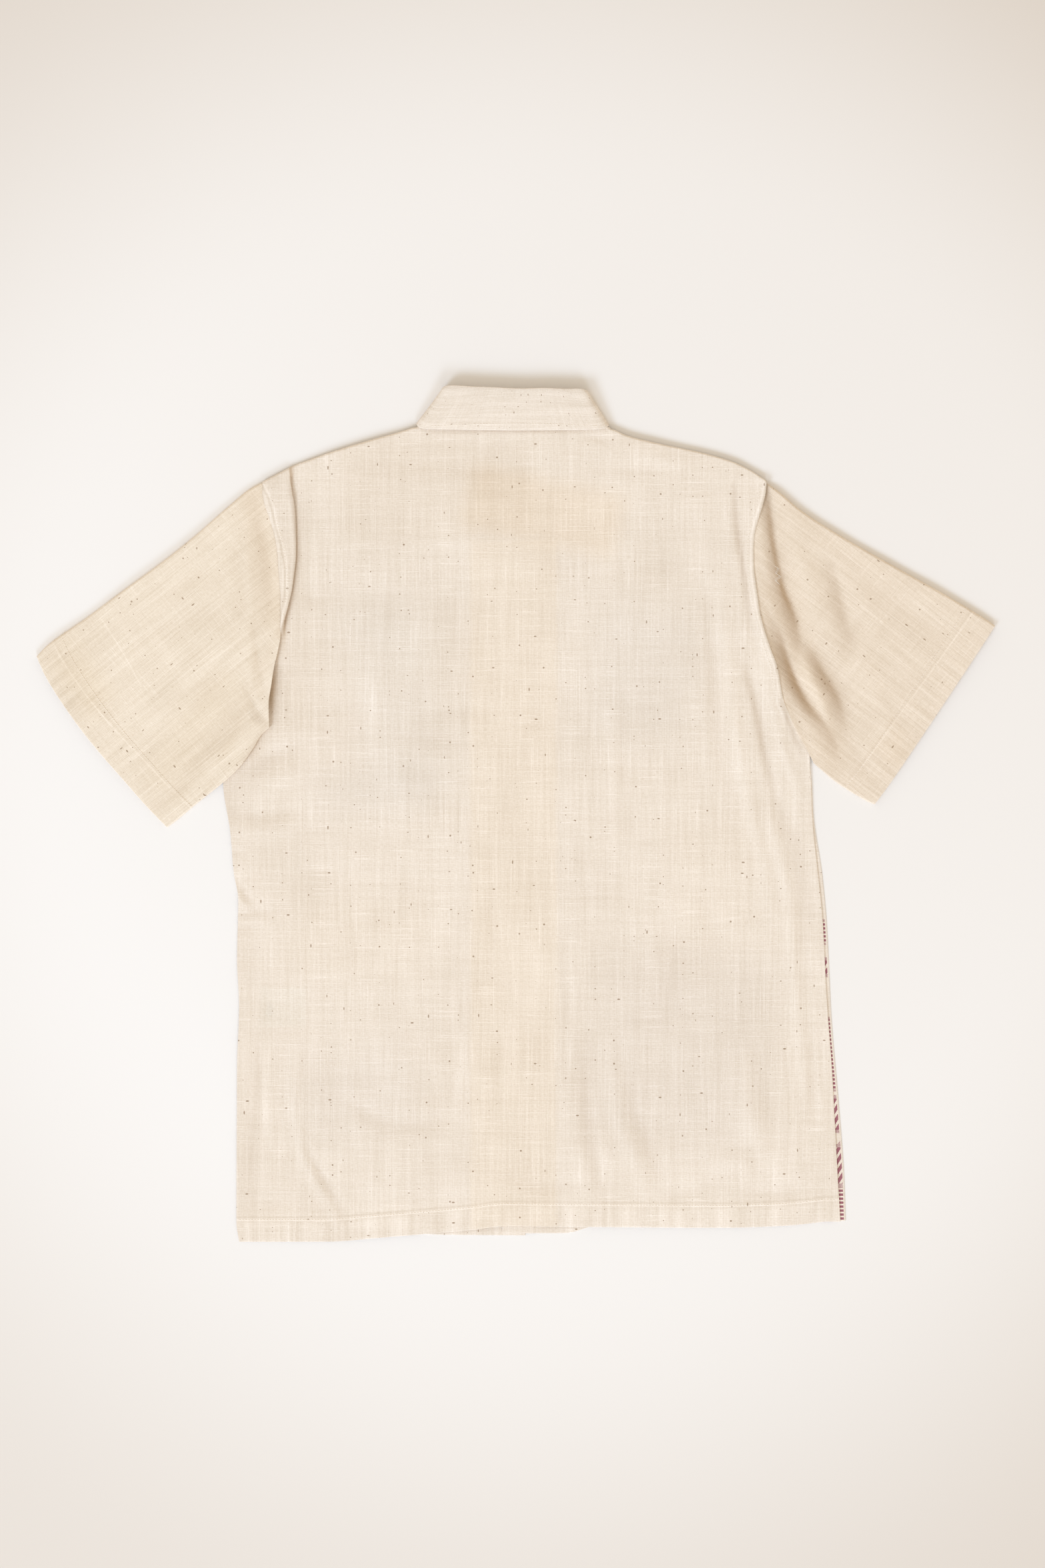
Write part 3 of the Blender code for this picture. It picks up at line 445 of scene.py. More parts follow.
# Creases: height, width on the line's left and right, then its points; a negative height is a trough
backCreases = (
    (-0.55, 4, 3, ((-263.2, -59.8), (-253.3, -73.5), (-244.6, -83.4))),
    (0.35, 4, 4, ((-263.8, -72.2), (-255.8, -80.9), (-249.6, -88.3))),
    (-0.5, 4, 4, ((-261.9, -93.9), (-244.6, -91.5), (-223.5, -92.7))),
    (-0.45, 4, 3, ((-263.2, -106.3), (-252, -105.7), (-240.9, -101.4))),
    (0.3, 4, 4, ((-261.9, -100.1), (-247.7, -98.9), (-232.2, -97))),
    (-0.35, 4, 4, ((-268.8, -37.5), (-261.9, -35), (-253.3, -37.5))),
    (-0.5, 6, 5, ((-269.4, -0.3), (-241.5, -2.8), (-203.7, 2.8))),
    (0.35, 7, 7, ((-266.9, -11.5), (-235.3, -15.2), (-201.2, -10.2))),
    (-0.8, 8, 7, ((-203.7, 64.2), (-224.8, 54.2), (-249.6, 38.1), (-263.2, 25.7))),
    (0.5, 9, 9, ((-198.1, 44.3), (-219.8, 31.9), (-241.5, 15.8))),
    (-0.7, 5, 6, ((-242.1, -200.6), (-240.9, -240.9), (-244, -284.3), (-247.1, -321.5),
        (-245.2, -356.2))),
    (0.45, 5, 6, ((-231.6, -222.3), (-229.7, -265.7), (-227.8, -309.1), (-229.7, -346.3))),
    (-0.35, 3, 4, ((-237.2, -259.5), (-234.7, -290.5), (-229.7, -315.3))),
    (0.65, 5, 3.5, ((-209.2, -209.9), (-207.4, -259.5), (-201.2, -306), (-190, -335.1),
        (-177.6, -357.4), (-168.3, -378.5))),
    (-0.7, 3, 5, ((-197.5, -304.1), (-185.1, -328.9), (-170.2, -352.5), (-159, -374.8))),
    (-0.45, 5, 6, ((-261.9, -366.1), (-238.4, -363.6), (-209.9, -360.5))),
    (0.4, 8, 8, ((-157.8, -209.9), (-154.1, -259.5), (-145.4, -309.1))),
    (-0.45, 9, 9, ((-117.5, -290.5), (-83.4, -289.2), (-63.5, -284.3))),
    (-0.5, 7, 8, ((-157.8, -262.6), (-142.3, -276.8), (-117.5, -288))),
    (-0.9, 7, 7, ((66.7, -200.6), (63.5, -253.3), (66.7, -296.7), (75.3, -333.9), (81.5, -357.4))),
    (0.8, 7, 7, ((82.8, -206.8), (90.8, -247.1), (96.4, -284.3), (110, -318.4), (122.5, -353.7))),
    (-0.5, 6, 6, ((101.4, -228.5), (108.8, -271.9), (124.3, -309.1), (134.8, -346.3))),
    (0.35, 3, 3, ((39.4, -107.6), (40, -154.1), (39.4, -209.9), (38.1, -247.1))),
    (-0.35, 4, 4, ((45.6, -110.7), (45.6, -154.1), (44.3, -197.5))),
    (-0.5, 7, 6, ((4.7, -343.8), (28.2, -348.8), (56.7, -345))),
    (0.3, 5, 5, ((-31.3, -209.9), (-29.4, -259.5), (-30.1, -309.1))),
    (-0.3, 5, 5, ((-24.5, -64.2), (-22.6, -98.3), (-20.1, -135.5))),
    (-0.3, 5, 5, ((96.4, 118.7), (97.7, 69.1), (100.1, 25.7), (105.1, -23.9))),
    (0.3, 6, 6, ((87.1, 112.5), (89, 62.9), (91.5, 13.3))),
    (-0.3, 4, 4, ((36.3, 44.3), (38.1, 7.1), (39.4, -30.1))),
    (0.35, 10, 10, ((-133, 162.1), (-131.8, 124.9), (-134.2, 87.7))),
    (-0.35, 10, 10, ((-145.4, 137.3), (-147.9, 100.1), (-146.6, 56.7))),
    (-0.3, 12, 8, ((-83.4, 87.7), (-46.2, 97.7), (-9, 96.4))),
    (-0.3, 10, 10, ((-108.2, 75.3), (-83.4, 70.4), (-46.2, 71.6))),
    (0.3, 12, 12, ((-46.2, 230.3), (-9, 235.3), (28.2, 230.3))),
    (0.75, 6, 5, ((192.5, 224.1), (194.4, 168.3), (200.6, 106.3), (208, 56.7), (219.2, 0.9),
        (230.3, -48.7), (237.8, -92.1))),
    (-0.95, 4, 5, ((215.4, 137.3), (224.1, 103.2), (230.9, 66), (239, 25.7), (248.9, -14.6))),
    (0.7, 5, 5, ((226.6, 152.8), (235.3, 115.6), (242.7, 81.5), (252.7, 50.5), (263.8, 19.5))),
    (0.6, 6, 5, ((232.8, 4), (246.4, -42.5), (255.1, -85.9), (257.6, -141.7), (263.8, -203.7),
        (271.2, -259.5), (275, -290.5))),
    (-0.6, 7, 8, ((245.2, 13.3), (263.8, -42.5), (271.2, -92.1), (268.8, -123.1))),
    (-0.5, 6, 6, ((177, 211.7), (180.7, 149.7), (185.7, 87.7), (195.6, 25.7))),
    (-0.55, 8, 9, ((219.2, -209.9), (232.8, -259.5), (239, -302.9))),
    (0.5, 8, 8, ((208, -234.7), (217.9, -284.3), (232.8, -321.5))),
    (0.45, 4, 4, ((281.2, -250.2), (284.3, -268.8), (282.4, -287.4))),
    (-0.4, 4, 4, ((273.7, -234.7), (276.2, -259.5), (275, -284.3))),
    (-0.5, 9, 8, ((177, -73.5), (180.7, -110.7), (177, -147.9))),
    (-0.4, 10, 10, ((142.9, -92.1), (146, -135.5), (142.3, -172.7))),
    (-0.5, 9, 7, ((208, -354.9), (239, -353.7), (270, -350))),
    (-0.35, 9, 8, ((127.4, -356.2), (164.6, -352.5), (189.4, -340.1))),
    (0.35, 8, 8, ((226.6, -340.1), (201.8, -321.5), (177, -324.6))),
    (-0.7, 2.6, 3, ((203.1, 309.7), (204.3, 279.9), (208, 248.9), (213, 211.7), (219.2, 174.5),
        (226.6, 143.5))),
    (-0.35, 8, 8, ((-83.4, 323.3), (-33.8, 319.6), (15.8, 322.1))),
    (0.3, 10, 10, ((-133, 310.9), (-83.4, 313.4), (-46.2, 310.9))),
    (-0.3, 9, 9, ((53, 329.5), (96.4, 320.9), (139.8, 315.9))),
    (0.35, 8, 8, ((102.6, 341.9), (139.8, 329.5), (177, 320.2))),
    (-0.35, 3, 3, ((58, 353.1), (71.6, 351.2), (87.1, 345.6))),
    (0.3, 6, 6, ((-188.8, 273.7), (-183.8, 230.3), (-188.8, 186.9))),
    (-0.4, 8, 7, ((-193.8, 211.7), (-188.8, 199.3), (-178.9, 205.5))),
)


def backRows():
    # how far up each row is, how far it has rolled over the shoulder, and whether it is the last one
    flatTo = 1 - shoulder["radius"] / shoulder["length"]
    count = int(shoulder["length"] / cell["body"])
    rows = [(up, 0.0, False) for up in np.linspace(0, flatTo, count, endpoint=False)]
    for turn in np.radians(rollTurns):
        up = 1 - shoulder["radius"] * (1 - math.sin(turn)) / shoulder["length"]
        rows.append((up, 1 - math.cos(turn), False))
    return rows + [(1.0, 0.0, True)]


def tuckStrip(up):
    edge = leftEdge(up) + np.array((levels["seamGap"] * mm, 0))
    sideways, height = tuckSection(up)
    climb = shoulder["tuckRise"] * mm * nearShoulder(up) / sideways[-1]
    level = backLevel(0.0, up) + height
    return np.column_stack((edge[0] + sideways, edge[1] + climb * sideways, level))[:-1]


def middlePanel(across, up):
    first, final = panelLeft(up), panelRight(up)
    hemEnds, shoulderEnds = (panelLeft(0), panelRight(0)), (panelLeft(1), panelRight(1))
    flat = coons(
        lambda at: shifted(backHem, at, *hemEnds), lambda at: shifted(backShoulder, at, *shoulderEnds),
        lambda at: first, lambda at: final, across, up,
    )
    return np.column_stack((flat, backLevel(across, up)))


def ridgeStrip(up):
    starting = smoothStep((up - underarm["from"]) / underarm["fromSlope"])
    under = float(starting * smoothStep((underarm["to"] - up) / underarm["toSlope"]))
    edge = rightEdge(up) + np.array((underarm["out"] * mm * under - levels["seamGap"] * mm, 0))
    distance, rise = np.array(ridgeShape).T * mm
    climb = shoulder["ridgeRise"] * mm * nearShoulder(up) / distance[0]
    level = backLevel(1 - distance / (edge[0] - panelLeft(up)[0]), up) + rise * rising(up, "ridge")
    return np.column_stack((edge[0] - distance, edge[1] + climb * distance, level))


def rolledOver(line, drop, isLast):
    # a row of the back lowered over the shoulders' edge, and left level under the collar
    x, z = line[:, 0], line[:, 2]
    neckLow = (backShoulder[collarEnds[0]][1] + shoulder["neckMargin"]) * mm
    neckHigh = (backShoulder[collarEnds[1]][1] - shoulder["neckMargin"]) * mm
    atShoulder = ~((x > neckLow) & (x < neckHigh))
    side = levels["side"] * mm
    radius = np.minimum(shoulder["radius"] * mm, shoulder["share"] * (z - side) + shoulder["least"] * mm)
    if isLast:
        lowest = np.minimum(side, z - radius - shoulder["rim"] * mm)
        line[:, 2] = np.where(atShoulder, lowest, z)
        line[:, 1] += np.where(atShoulder, 0.0, shoulder["rimOut"] * mm)
    else:
        line[:, 2] = np.where(atShoulder, z - drop * radius, z)
    return line


def backGrid():
    across = np.linspace(0, 1, int(shoulder["panel"] / cell["body"]), endpoint=False)
    grid = []
    for up, drop, isLast in backRows():
        line = np.concatenate((tuckStrip(up), middlePanel(across, up), ridgeStrip(up)))
        grid.append(rolledOver(line, drop, isLast))
    return np.array(grid).transpose(1, 0, 2)


def dressed(grid, creases, form):
    # the creased grid and each point's wanted change in mm, with no crease pressed into what lies under it
    x, y, z = grid[..., 0], grid[..., 1], grid[..., 2]
    wanted = creaseHeight(x, y, creases) * form["relief"] * mm + softWaves(x, y, form["waves"])
    room = np.maximum(z - form["lowest"] * mm, 0.0)
    change = np.where(wanted < 0, -room * np.tanh(-wanted / np.maximum(room, 1e-6)), wanted)
    out = grid.copy()
    out[..., 2] = z + change
    return out, wanted / mm


# Tones of the cloth: soft patches for what shows through and tone that differs, and patches and lines of
# painted shade where the cloth creases, folds or lies under an edge, with painted highlight on crests and
# raised bands

# painted shade darkens each crease's trough and painted highlight lightens its crest, by how deep or high it
# is; tint warms the painted shade
creasePaintedShadeAndHighlight = {"trough": 0.24, "deepest": 3.0, "crest": 0.07, "highest": 1.5, "tint": (0.15, 0.183, 0.218)}


def patchMask(x, y, patch):
    centreX, centreY, halfX, halfY, turn, soft = patch[:6]
    turn = math.radians(turn)
    dx, dy = x / mm - centreX, y / mm - centreY
    across = np.abs(dx * math.cos(turn) + dy * math.sin(turn)) - halfX
    along = np.abs(dy * math.cos(turn) - dx * math.sin(turn)) - halfY
    return smoothStep(0.5 - across / soft) * smoothStep(0.5 - along / soft)


def shadeAt(x, y, change, patches, lines):
    shade = np.ones(x.shape + (3,))
    for patch in patches:
        shade *= 1 + patchMask(x, y, patch)[..., None] * (np.array(patch[6]) - 1)
    # painted shade in crease troughs and along the shade lines, painted highlight on crests
    trough = np.clip(-change, 0, creasePaintedShadeAndHighlight["deepest"]) * creasePaintedShadeAndHighlight["trough"]
    crest = np.clip(change, 0, creasePaintedShadeAndHighlight["highest"]) * creasePaintedShadeAndHighlight["crest"]
    depth = trough - crest + creaseHeight(x, y, lines)
    return shade * (1 - depth[..., None] * np.array(creasePaintedShadeAndHighlight["tint"]))


# Fronts

frontForm = {
    "cloth": 0.70, "inset": 1.0, "insetFrom": 0.6, "shoulderInset": 0.8, "neckPoints": 24, "neckDrop": 0.4,
    "hem": 0.95, "hemDepth": 22.0, "widthAt": 0.3, "firstAcross": 0.0001,
}


def frontGrid(hemRows, side, neck, isLeft):
    inset = frontForm["shoulderInset"] * mm
    shoulderRows = backShoulder[:collarEnds[0]] if isLeft else backShoulder[:collarEnds[1]:-1]
    corner = leftArmhole[-1] if isLeft else rightArmhole[-1]
    outline = [(row[1], row[2] - frontForm["shoulderInset"]) for row in (corner[:3],) + tuple(shoulderRows)]
    outline += [tuple(point) for point in smoothLine(neck, frontForm["neckPoints"])]
    edgeX = placket["right" if isLeft else "left"] * mm
    neckY = neck[-1][1] * mm
    hemY = (hemRows[-1] if isLeft else hemRows[0])[2] * mm
    outline.append((edgeX / mm, neckY / mm - frontForm["neckDrop"]))
    outline = np.array(outline) * mm

    def outer(at):
        slack = frontForm["inset"] * mm if isLeft or at > frontForm["insetFrom"] else 0.0
        point = side(at) + np.array((slack if isLeft else -slack, 0))
        point[1] -= inset * at
        if at == 0:
            point[1] = plan(hemRows, 0.0 if isLeft else 1.0)[1]
        return point

    def hemLine(at):
        place = plan(hemRows, at if isLeft else 1 - np.asarray(at))
        start = plan(hemRows, 0.0 if isLeft else 1.0)
        share = np.asarray(at, dtype=float)[..., None]
        return place + (1 - share) * (outer(0.0) - start)

    rows = int(shoulder["length"] / cell["front"])
    width = abs(outer(frontForm["widthAt"])[0] - edgeX)
    across = np.linspace(0, 1, int(width / mm / cell["front"]))
    across[0] = frontForm["firstAcross"]   # a hair off the side, where the outline's first corner is
    edgeHeight = neckY - frontForm["neckDrop"] * mm - hemY
    grid = []
    for up in np.linspace(0, 1, rows):
        flat = coons(
            hemLine, lambda at: onLine(outline, at), lambda at: outer(up),
            lambda at: np.array((edgeX, hemY + edgeHeight * up)), across, up,
        )
        x, y = flat.T
        level = levels["floor"] * mm + buttonRidge(x, y)
        if not isLeft:
            run = placket["right"] + levels["lapSlope"] - x / mm
            run = run / (levels["lapSlope"] - levels["lapFull"])
            level = level + (levels["lap"] - levels["floor"]) * mm * smoothStep(run)
        grid.append(np.column_stack((flat, level)))
    grid = np.array(grid).transpose(1, 0, 2)
    return grid if isLeft else grid[::-1]


# Sleeves

leftUpper = (
    (0.00, -236.5, 309.1), (0.07, -250, 302.2), (0.15, -269.4, 286.1), (0.30, -300.4, 258.5),
    (0.45, -336, 230), (0.60, -368.6, 206.2), (0.75, -399.6, 182.8), (0.92, -437, 156),
    (1.00, -446.1, 146.6),
)
leftLower = (
    (0.00, -229.7, 80.9), (0.07, -237.2, 74.1), (0.15, -244, 62.9), (0.30, -258, 43.5),
    (0.45, -273.1, 29.4), (0.60, -285.5, 19.5), (0.75, -300.4, 7.8), (0.92, -317, -6),
    (1.00, -325.2, -12.1),
)
leftCuff = (
    (0.00, -446.1, 146.6), (0.10, -439.3, 131.1), (0.24, -424.4, 106.3), (0.40, -407, 81.5),
    (0.57, -387.2, 56.7), (0.74, -365.5, 31.9), (0.88, -343.8, 7.1), (1.00, -325.2, -12.1),
)
leftRolledEdge = (
    (-218.9, 174), (-219.2, 165), (-221.8, 151), (-225.2, 136.7), (-227.8, 120), (-230.2, 103),
    (-229.7, 80.9),
)
rightUpper = (
    (0.00, 233.4, 309.7), (0.07, 248, 298.4), (0.15, 264, 284.6), (0.30, 298, 262),
    (0.45, 332, 242.2), (0.60, 365, 223.6), (0.75, 397, 205.5), (0.92, 434, 183),
    (1.00, 445.5, 175.2),
)
rightLower = (
    (0.00, 276.9, 47.9), (0.07, 281, 44.4), (0.15, 285.6, 40.4), (0.30, 293.4, 33.6),
    (0.45, 301, 28), (0.60, 309.4, 22.6), (0.75, 318.4, 17.2), (0.92, 329, 11.4),
    (1.00, 333.9, 9.6),
)
rightCuff = (
    (0.00, 445.5, 175.2), (0.15, 430.4, 152), (0.40, 405, 113.6), (0.70, 372.6, 65),
    (0.90, 347, 27.5), (1.00, 333.9, 9.6),
)
bodyUnderSleeve = ((-225.6, 136.7), (-273.1, 29.4))
sleeveForm = {
    "cloth": 0.70, "cuff": 0.90, "cuffDepth": 30.0, "rightCuffMore": 1.5, "relief": 1.6, "lowest": 1.3,
    "upper": 4.2, "middle": 4.4, "lower": 2.6, "bulge": 0.8, "least": 1.8, "length": 268,
    "lift": 3.4, "liftFrom": -44, "liftAlong": 20, "liftInside": -16, "liftAcross": 14,
    "waves": ((0.22, 88, 35, 0.7), (0.16, 54, 130, 2.9), (0.10, 33, 80, 1.1)),
    # how far its seam lies under the body's strip
    "seamSlack": 0.5, "seamTuck": 1.4, "seamDown": 0.5, "seamDrop": 0.9, "dropShare": 0.35,
    "rolledFrom": 176.5, "rolledPoints": 28, "underarmFrom": 0.615, "underarmPoints": 22,
    "seamReach": 0.22, "seamBlend": 0.06, "lowerSteps": 9, "grainLeft": 219, "grainRight": -38,
    "trough": ((0, 0), (0.035, -0.6), (0.07, -1.3), (0.11, -1.2), (0.15, -0.4), (0.22, 0), (1, 0)),
}
leftSleeveCreases = (
    (-1.0, 16, 12, ((-235.9, 146.6), (-247.1, 115.6), (-265.1, 85.2), (-284.3, 59.2),
        (-302.9, 34.4), (-323.9, 9.6))),
    (0.7, 7, 8, ((-244.6, 81.5), (-269.4, 54.2), (-296.7, 28.2), (-322.7, 3.4))),
    (-0.6, 2.6, 3, ((-233.4, 89), (-243.3, 101.4), (-253.3, 118.7))),
    (-0.6, 3, 3.5, ((-230.9, 108.8), (-237.2, 128.7), (-242.1, 155.9), (-244.6, 186.9))),
    (0.4, 3, 3, ((-237.2, 97.7), (-244.6, 118.7), (-249.6, 143.5))),
    (-0.5, 2.4, 2.4, ((-249.6, 93.9), (-240.9, 87.7), (-233.4, 84))),
    (-1, 9, 10, ((-248.3, 295.4), (-240.9, 261.3), (-235.9, 224.1), (-233.4, 190), (-234.7, 162.1))),
    (-0.6, 4, 9, ((-255.1, 276.8), (-256.4, 236.5), (-253.3, 199.3), (-258.2, 165.2))),
    (0.7, 14, 16, ((-387.2, 196.2), (-343.8, 224.1), (-300.4, 252), (-261.9, 279.9))),
    (-0.5, 9, 9, ((-275.6, 199.3), (-294.2, 183.8), (-317.8, 168.3))),
    (0.45, 9, 9, ((-269.4, 162.1), (-294.2, 137.3), (-317.8, 118.7))),
    (-0.45, 7, 7, ((-263.2, 146.6), (-288, 112.5), (-312.8, 87.7))),
    (-0.5, 7, 7, ((-423.1, 96.4), (-404.6, 106.3), (-384.7, 117.5))),
    (-0.7, 6, 6, ((-336.4, 5.9), (-321.5, 15.8), (-304.1, 30.7))),
    (0.4, 8, 8, ((-387.2, 75.3), (-356.2, 100.1), (-331.4, 118.7))),
    (-0.35, 6, 6, ((-368.6, 149.7), (-337.6, 168.3), (-306.6, 196.2))),
    (-0.35, 3, 3, ((-261.9, 230.3), (-271.9, 222.9), (-286.8, 211.7))),
    (0.3, 3, 3, ((-242.1, 146.6), (-253.3, 131.1), (-263.2, 121.2))),
)
rightSleeveCreases = (
    (-2.3, 4, 7, ((230.9, 318.4), (233.4, 289.2), (236.5, 261.3), (240.2, 230.3))),
    (-2.2, 6, 8, ((239, 225.4), (246.4, 206.8), (253.9, 188.2), (258.9, 167.1), (261.9, 149.7))),
    (-2.2, 4, 7, ((240.9, 169.6), (248.9, 146.6), (258.9, 124.9), (270, 108.8), (282.4, 95.2))),
    (-1.6, 10, 12, ((272.5, 160.9), (285.5, 137.3), (297.3, 115), (302.2, 95.2), (297.3, 71.6),
        (299.8, 49.3))),
    (-1, 6, 10, ((290.5, 235.3), (298.5, 208.6), (305.4, 183.8), (307.2, 157.2))),
    (-0.7, 8, 6, ((320.9, 185.7), (313.4, 170.8), (306, 152.2))),
    (1, 10, 10, ((252.7, 270.6), (266.9, 230.3), (277.4, 196.2), (279.9, 168.3))),
    (0.8, 5, 6, ((265.7, 146.6), (277.4, 118.7), (288.6, 89), (292.3, 69.1))),
    (0.7, 9, 9, ((240.9, 299.8), (261.3, 270.6), (283.6, 247.7), (302.2, 230.3))),
    (0.6, 10, 12, ((319.6, 149.7), (332, 118.7), (344.4, 87.7))),
    (-0.6, 8, 9, ((306, 77.8), (315.9, 56.7), (325.8, 38.1))),
    (0.5, 9, 9, ((312.2, 224.1), (325.8, 196.2), (334.5, 168.3))),
    (-0.35, 2.4, 2.4, ((225.4, 263.8), (232.8, 246.4), (236.5, 232.8))),
    (-0.35, 2.4, 2.4, ((225.4, 232.8), (232.8, 216.7), (239, 199.3))),
    (-0.35, 2.4, 2.4, ((230.3, 196.2), (236.5, 183.2), (241.5, 172.1))),
    (0.5, 5, 4, ((226.6, 286.1), (230.9, 248.9), (234.1, 211.7), (239, 180.7))),
    (-0.4, 9, 9, ((350.6, 199.3), (375.4, 183.8), (400.2, 168.3))),
    (0.4, 12, 12, ((344.4, 224.1), (381.6, 199.3), (412.6, 180.7))),
    (-0.45, 8, 8, ((344.4, 106.3), (353.7, 90.8), (366.1, 81.5))),
)


def liftOverBody(x, y):
    start, end = (np.array(point) * mm for point in bodyUnderSleeve)
    run = (end - start) / np.linalg.norm(end - start)
    dx, dy = x - start[0], y - start[1]
    inside = (run[0] * dy - run[1] * dx) / mm - sleeveForm["liftInside"]
    along = (run[0] * dx + run[1] * dy) / mm - sleeveForm["liftFrom"]
    below = smoothStep(along / sleeveForm["liftAlong"])
    return sleeveForm["lift"] * mm * below * smoothStep(inside / sleeveForm["liftAcross"])


def armholeRun(back, isLeft):
    # points where the sleeve meets the back, then the armhole's points on down to the underarm
    armhole = leftArmhole if isLeft else rightArmhole
    column = back[0 if isLeft else -1][::-1][1:]
    seam = column[column[:, 1] >= (armhole[0][2] - sleeveForm["seamSlack"]) * mm].copy()
    seam[:, 0] += (1 if isLeft else -1) * sleeveForm["seamTuck"] * mm
    seam[:, 1] -= sleeveForm["seamDown"] * mm
    seam[:, 2] -= np.minimum(sleeveForm["seamDrop"] * mm, sleeveForm["dropShare"] * seam[:, 2])
    if isLeft:
        seam = seam[seam[:, 1] > sleeveForm["rolledFrom"] * mm]
        return seam, smoothLine(leftRolledEdge, sleeveForm["rolledPoints"]) * mm
    table = [row for row in rightSide if row[0] >= sleeveForm["underarmFrom"]][::-1][1:]
    below = [(row[1] + 2 * levels["seamGap"], row[2]) for row in table[:-1]]
    below = [tuple(seam[-1, :2] / mm)] + below + [rightLower[0][1:]]
    return seam, smoothLine(below, sleeveForm["underarmPoints"])[1:] * mm


def sleeveGrid(back, isLeft):
    # rings from the armhole to the cuff: the upper fold, the top, the lower fold and the underside
    upper, lower, cuff = (leftUpper, leftLower, leftCuff) if isLeft else (rightUpper, rightLower, rightCuff)
    seam, below = armholeRun(back, isLeft)
    points = np.concatenate((seam[:, :2], below))
    steps = np.linalg.norm(np.diff(points, axis=0), axis=1)
    fractions = np.concatenate(([0], np.cumsum(steps))) / steps.sum()
    quarter = len(rollTurns) - 1
    inner = fractions[quarter + 1:-1]
    known = len(seam)
    low = levels["floor"] * mm
    lowerRadius = sleeveForm["lower"] * mm / 2
    seamRadius = (seam[quarter, 2] - low) / 2
    upperTurns = np.radians(np.array(rollTurns))
    lowerTurns = np.radians(np.linspace(0, 180, sleeveForm["lowerSteps"]))
    underTurns = math.pi - upperTurns[:-1]

    def armholeEdge(at):
        return np.stack([np.interp(at, fractions, points[:, axis]) for axis in (0, 1)], axis=-1)

    def ringAt(station):
        upperEdge = plan(upper, station) + (1 - station) * (points[0] - plan(upper, 0.0))
        lowerEdge = plan(lower, station) + (1 - station) * (points[-1] - plan(lower, 0.0))
        width = np.linalg.norm(lowerEdge - upperEdge)
        seamShare = 1 - smoothStep(station / sleeveForm["seamReach"])
        upperRadius = sleeveForm["upper"] * mm / 2 * (1 - seamShare) + seamRadius * seamShare
        trough = curve(sleeveForm["trough"], station, 1) * mm

        def placed(across):
            flat = coons(
                armholeEdge, lambda at: plan(cuff, at), lambda at: upperEdge, lambda at: lowerEdge,
                across, station,
            )
            return flat, low + (liftOverBody(*flat.T) if isLeft else np.zeros(len(flat)))

        def wall(across, isTop):
            flat, floor = placed(across)
            middle = np.sin(np.pi * np.clip(across, 0, 1))
            height = (
                2 * upperRadius * (1 - across) + 2 * lowerRadius * across
                + (sleeveForm["middle"] * mm - upperRadius - lowerRadius) * middle * sleeveForm["bulge"]
            )
            target = np.interp(across, fractions[:known], seam[:, 2]) - floor
            past = smoothStep((across - fractions[known - 1]) / sleeveForm["seamBlend"])
            share = seamShare * (1 - past)
            height = height * (1 - share) + target * share
            height = np.maximum(height + trough * middle, sleeveForm["least"] * mm)
            level = floor + (height if isTop else 0.0)
            return np.column_stack((flat, level, np.full(len(flat), 1.0 if isTop else 0.0)))

        def fold(across, radius, turns):
            flat, floor = placed(across)
            level = floor + radius + radius * np.cos(turns)
            return np.column_stack((flat, level, 0.5 + 0.5 * np.cos(turns)))

        def inwards(radius, turns):
            return radius * (1 - np.sin(turns)) / width

        return np.concatenate((
            fold(inwards(upperRadius, upperTurns[::-1]), upperRadius, upperTurns[::-1]),
            wall(inner, True),
            fold(1 - inwards(lowerRadius, lowerTurns), lowerRadius, lowerTurns),
            wall(inner[::-1], False),
            fold(inwards(upperRadius, underTurns), upperRadius, underTurns),
        ))

    stations = np.linspace(0, 1, int(sleeveForm["length"] / cell["sleeve"]))
    rings = np.array([ringAt(station) for station in stations]).transpose(1, 0, 2)
    grid, weight = rings[..., :3].copy(), rings[..., 3]   # the weight is 1 on top and 0 on the underside
    top, change = dressed(grid, leftSleeveCreases if isLeft else rightSleeveCreases, sleeveForm)
    grid[..., 2] += (top[..., 2] - grid[..., 2]) * weight
    return grid, change * weight, weight, np.broadcast_to(stations, weight.shape)


# Collar: base x and y, top x and y, how far round its fold (0 below, 180 on top)
collarLine = (
    (-5.2, 283, -5.2, 321, 0), (-24, 284.6, -19, 321.8, 0), (-52, 298.4, -38, 333, 0),
    (-73.6, 320, -54, 353, 0), (-84.6, 340, -61, 378, 0), (-89.4, 355.6, -63.4, 392, 0),
    (-91.8, 361.4, -66.2, 394.6, 35), (-92.8, 362.8, -67.9, 395.4, 75), (-91.6, 361, -67.4, 396.6, 120),
    (-88.6, 358.9, -64.8, 397.9, 155), (-83, 358, -59, 398.4, 180), (-62, 357.6, -43, 397.5, 180),
    (-30, 357.1, -20, 396.6, 180), (3, 356.8, 4, 395.5, 180), (30, 356.9, 25, 396, 180),
    (60, 357.4, 45, 395.2, 180), (76.6, 357.9, 57, 395.3, 180), (82, 358.6, 62, 394.9, 155),
    (84.8, 360.2, 65, 394, 120), (86, 361.6, 66.2, 392.6, 75), (85.4, 360.6, 65.4, 391.6, 35),
    (83, 354.6, 62.6, 390, 0), (79.6, 340, 60, 378, 0), (68.6, 320, 51, 353, 0),
    (47, 298.4, 34, 333, 0), (18, 284.6, 13, 321.8, 0), (-0.8, 283, -0.8, 321, 0),
)
collarForm = {
    "cloth": 1.3, "stiffCloth": 1.6, "base": 7.1, "top": 11.0, "rows": 14, "step": 2.6, "leastStep": 2.0,
    "stitchLine": 5.2, "tone": 1.015, "paintedShadeFall": 0.035,
}


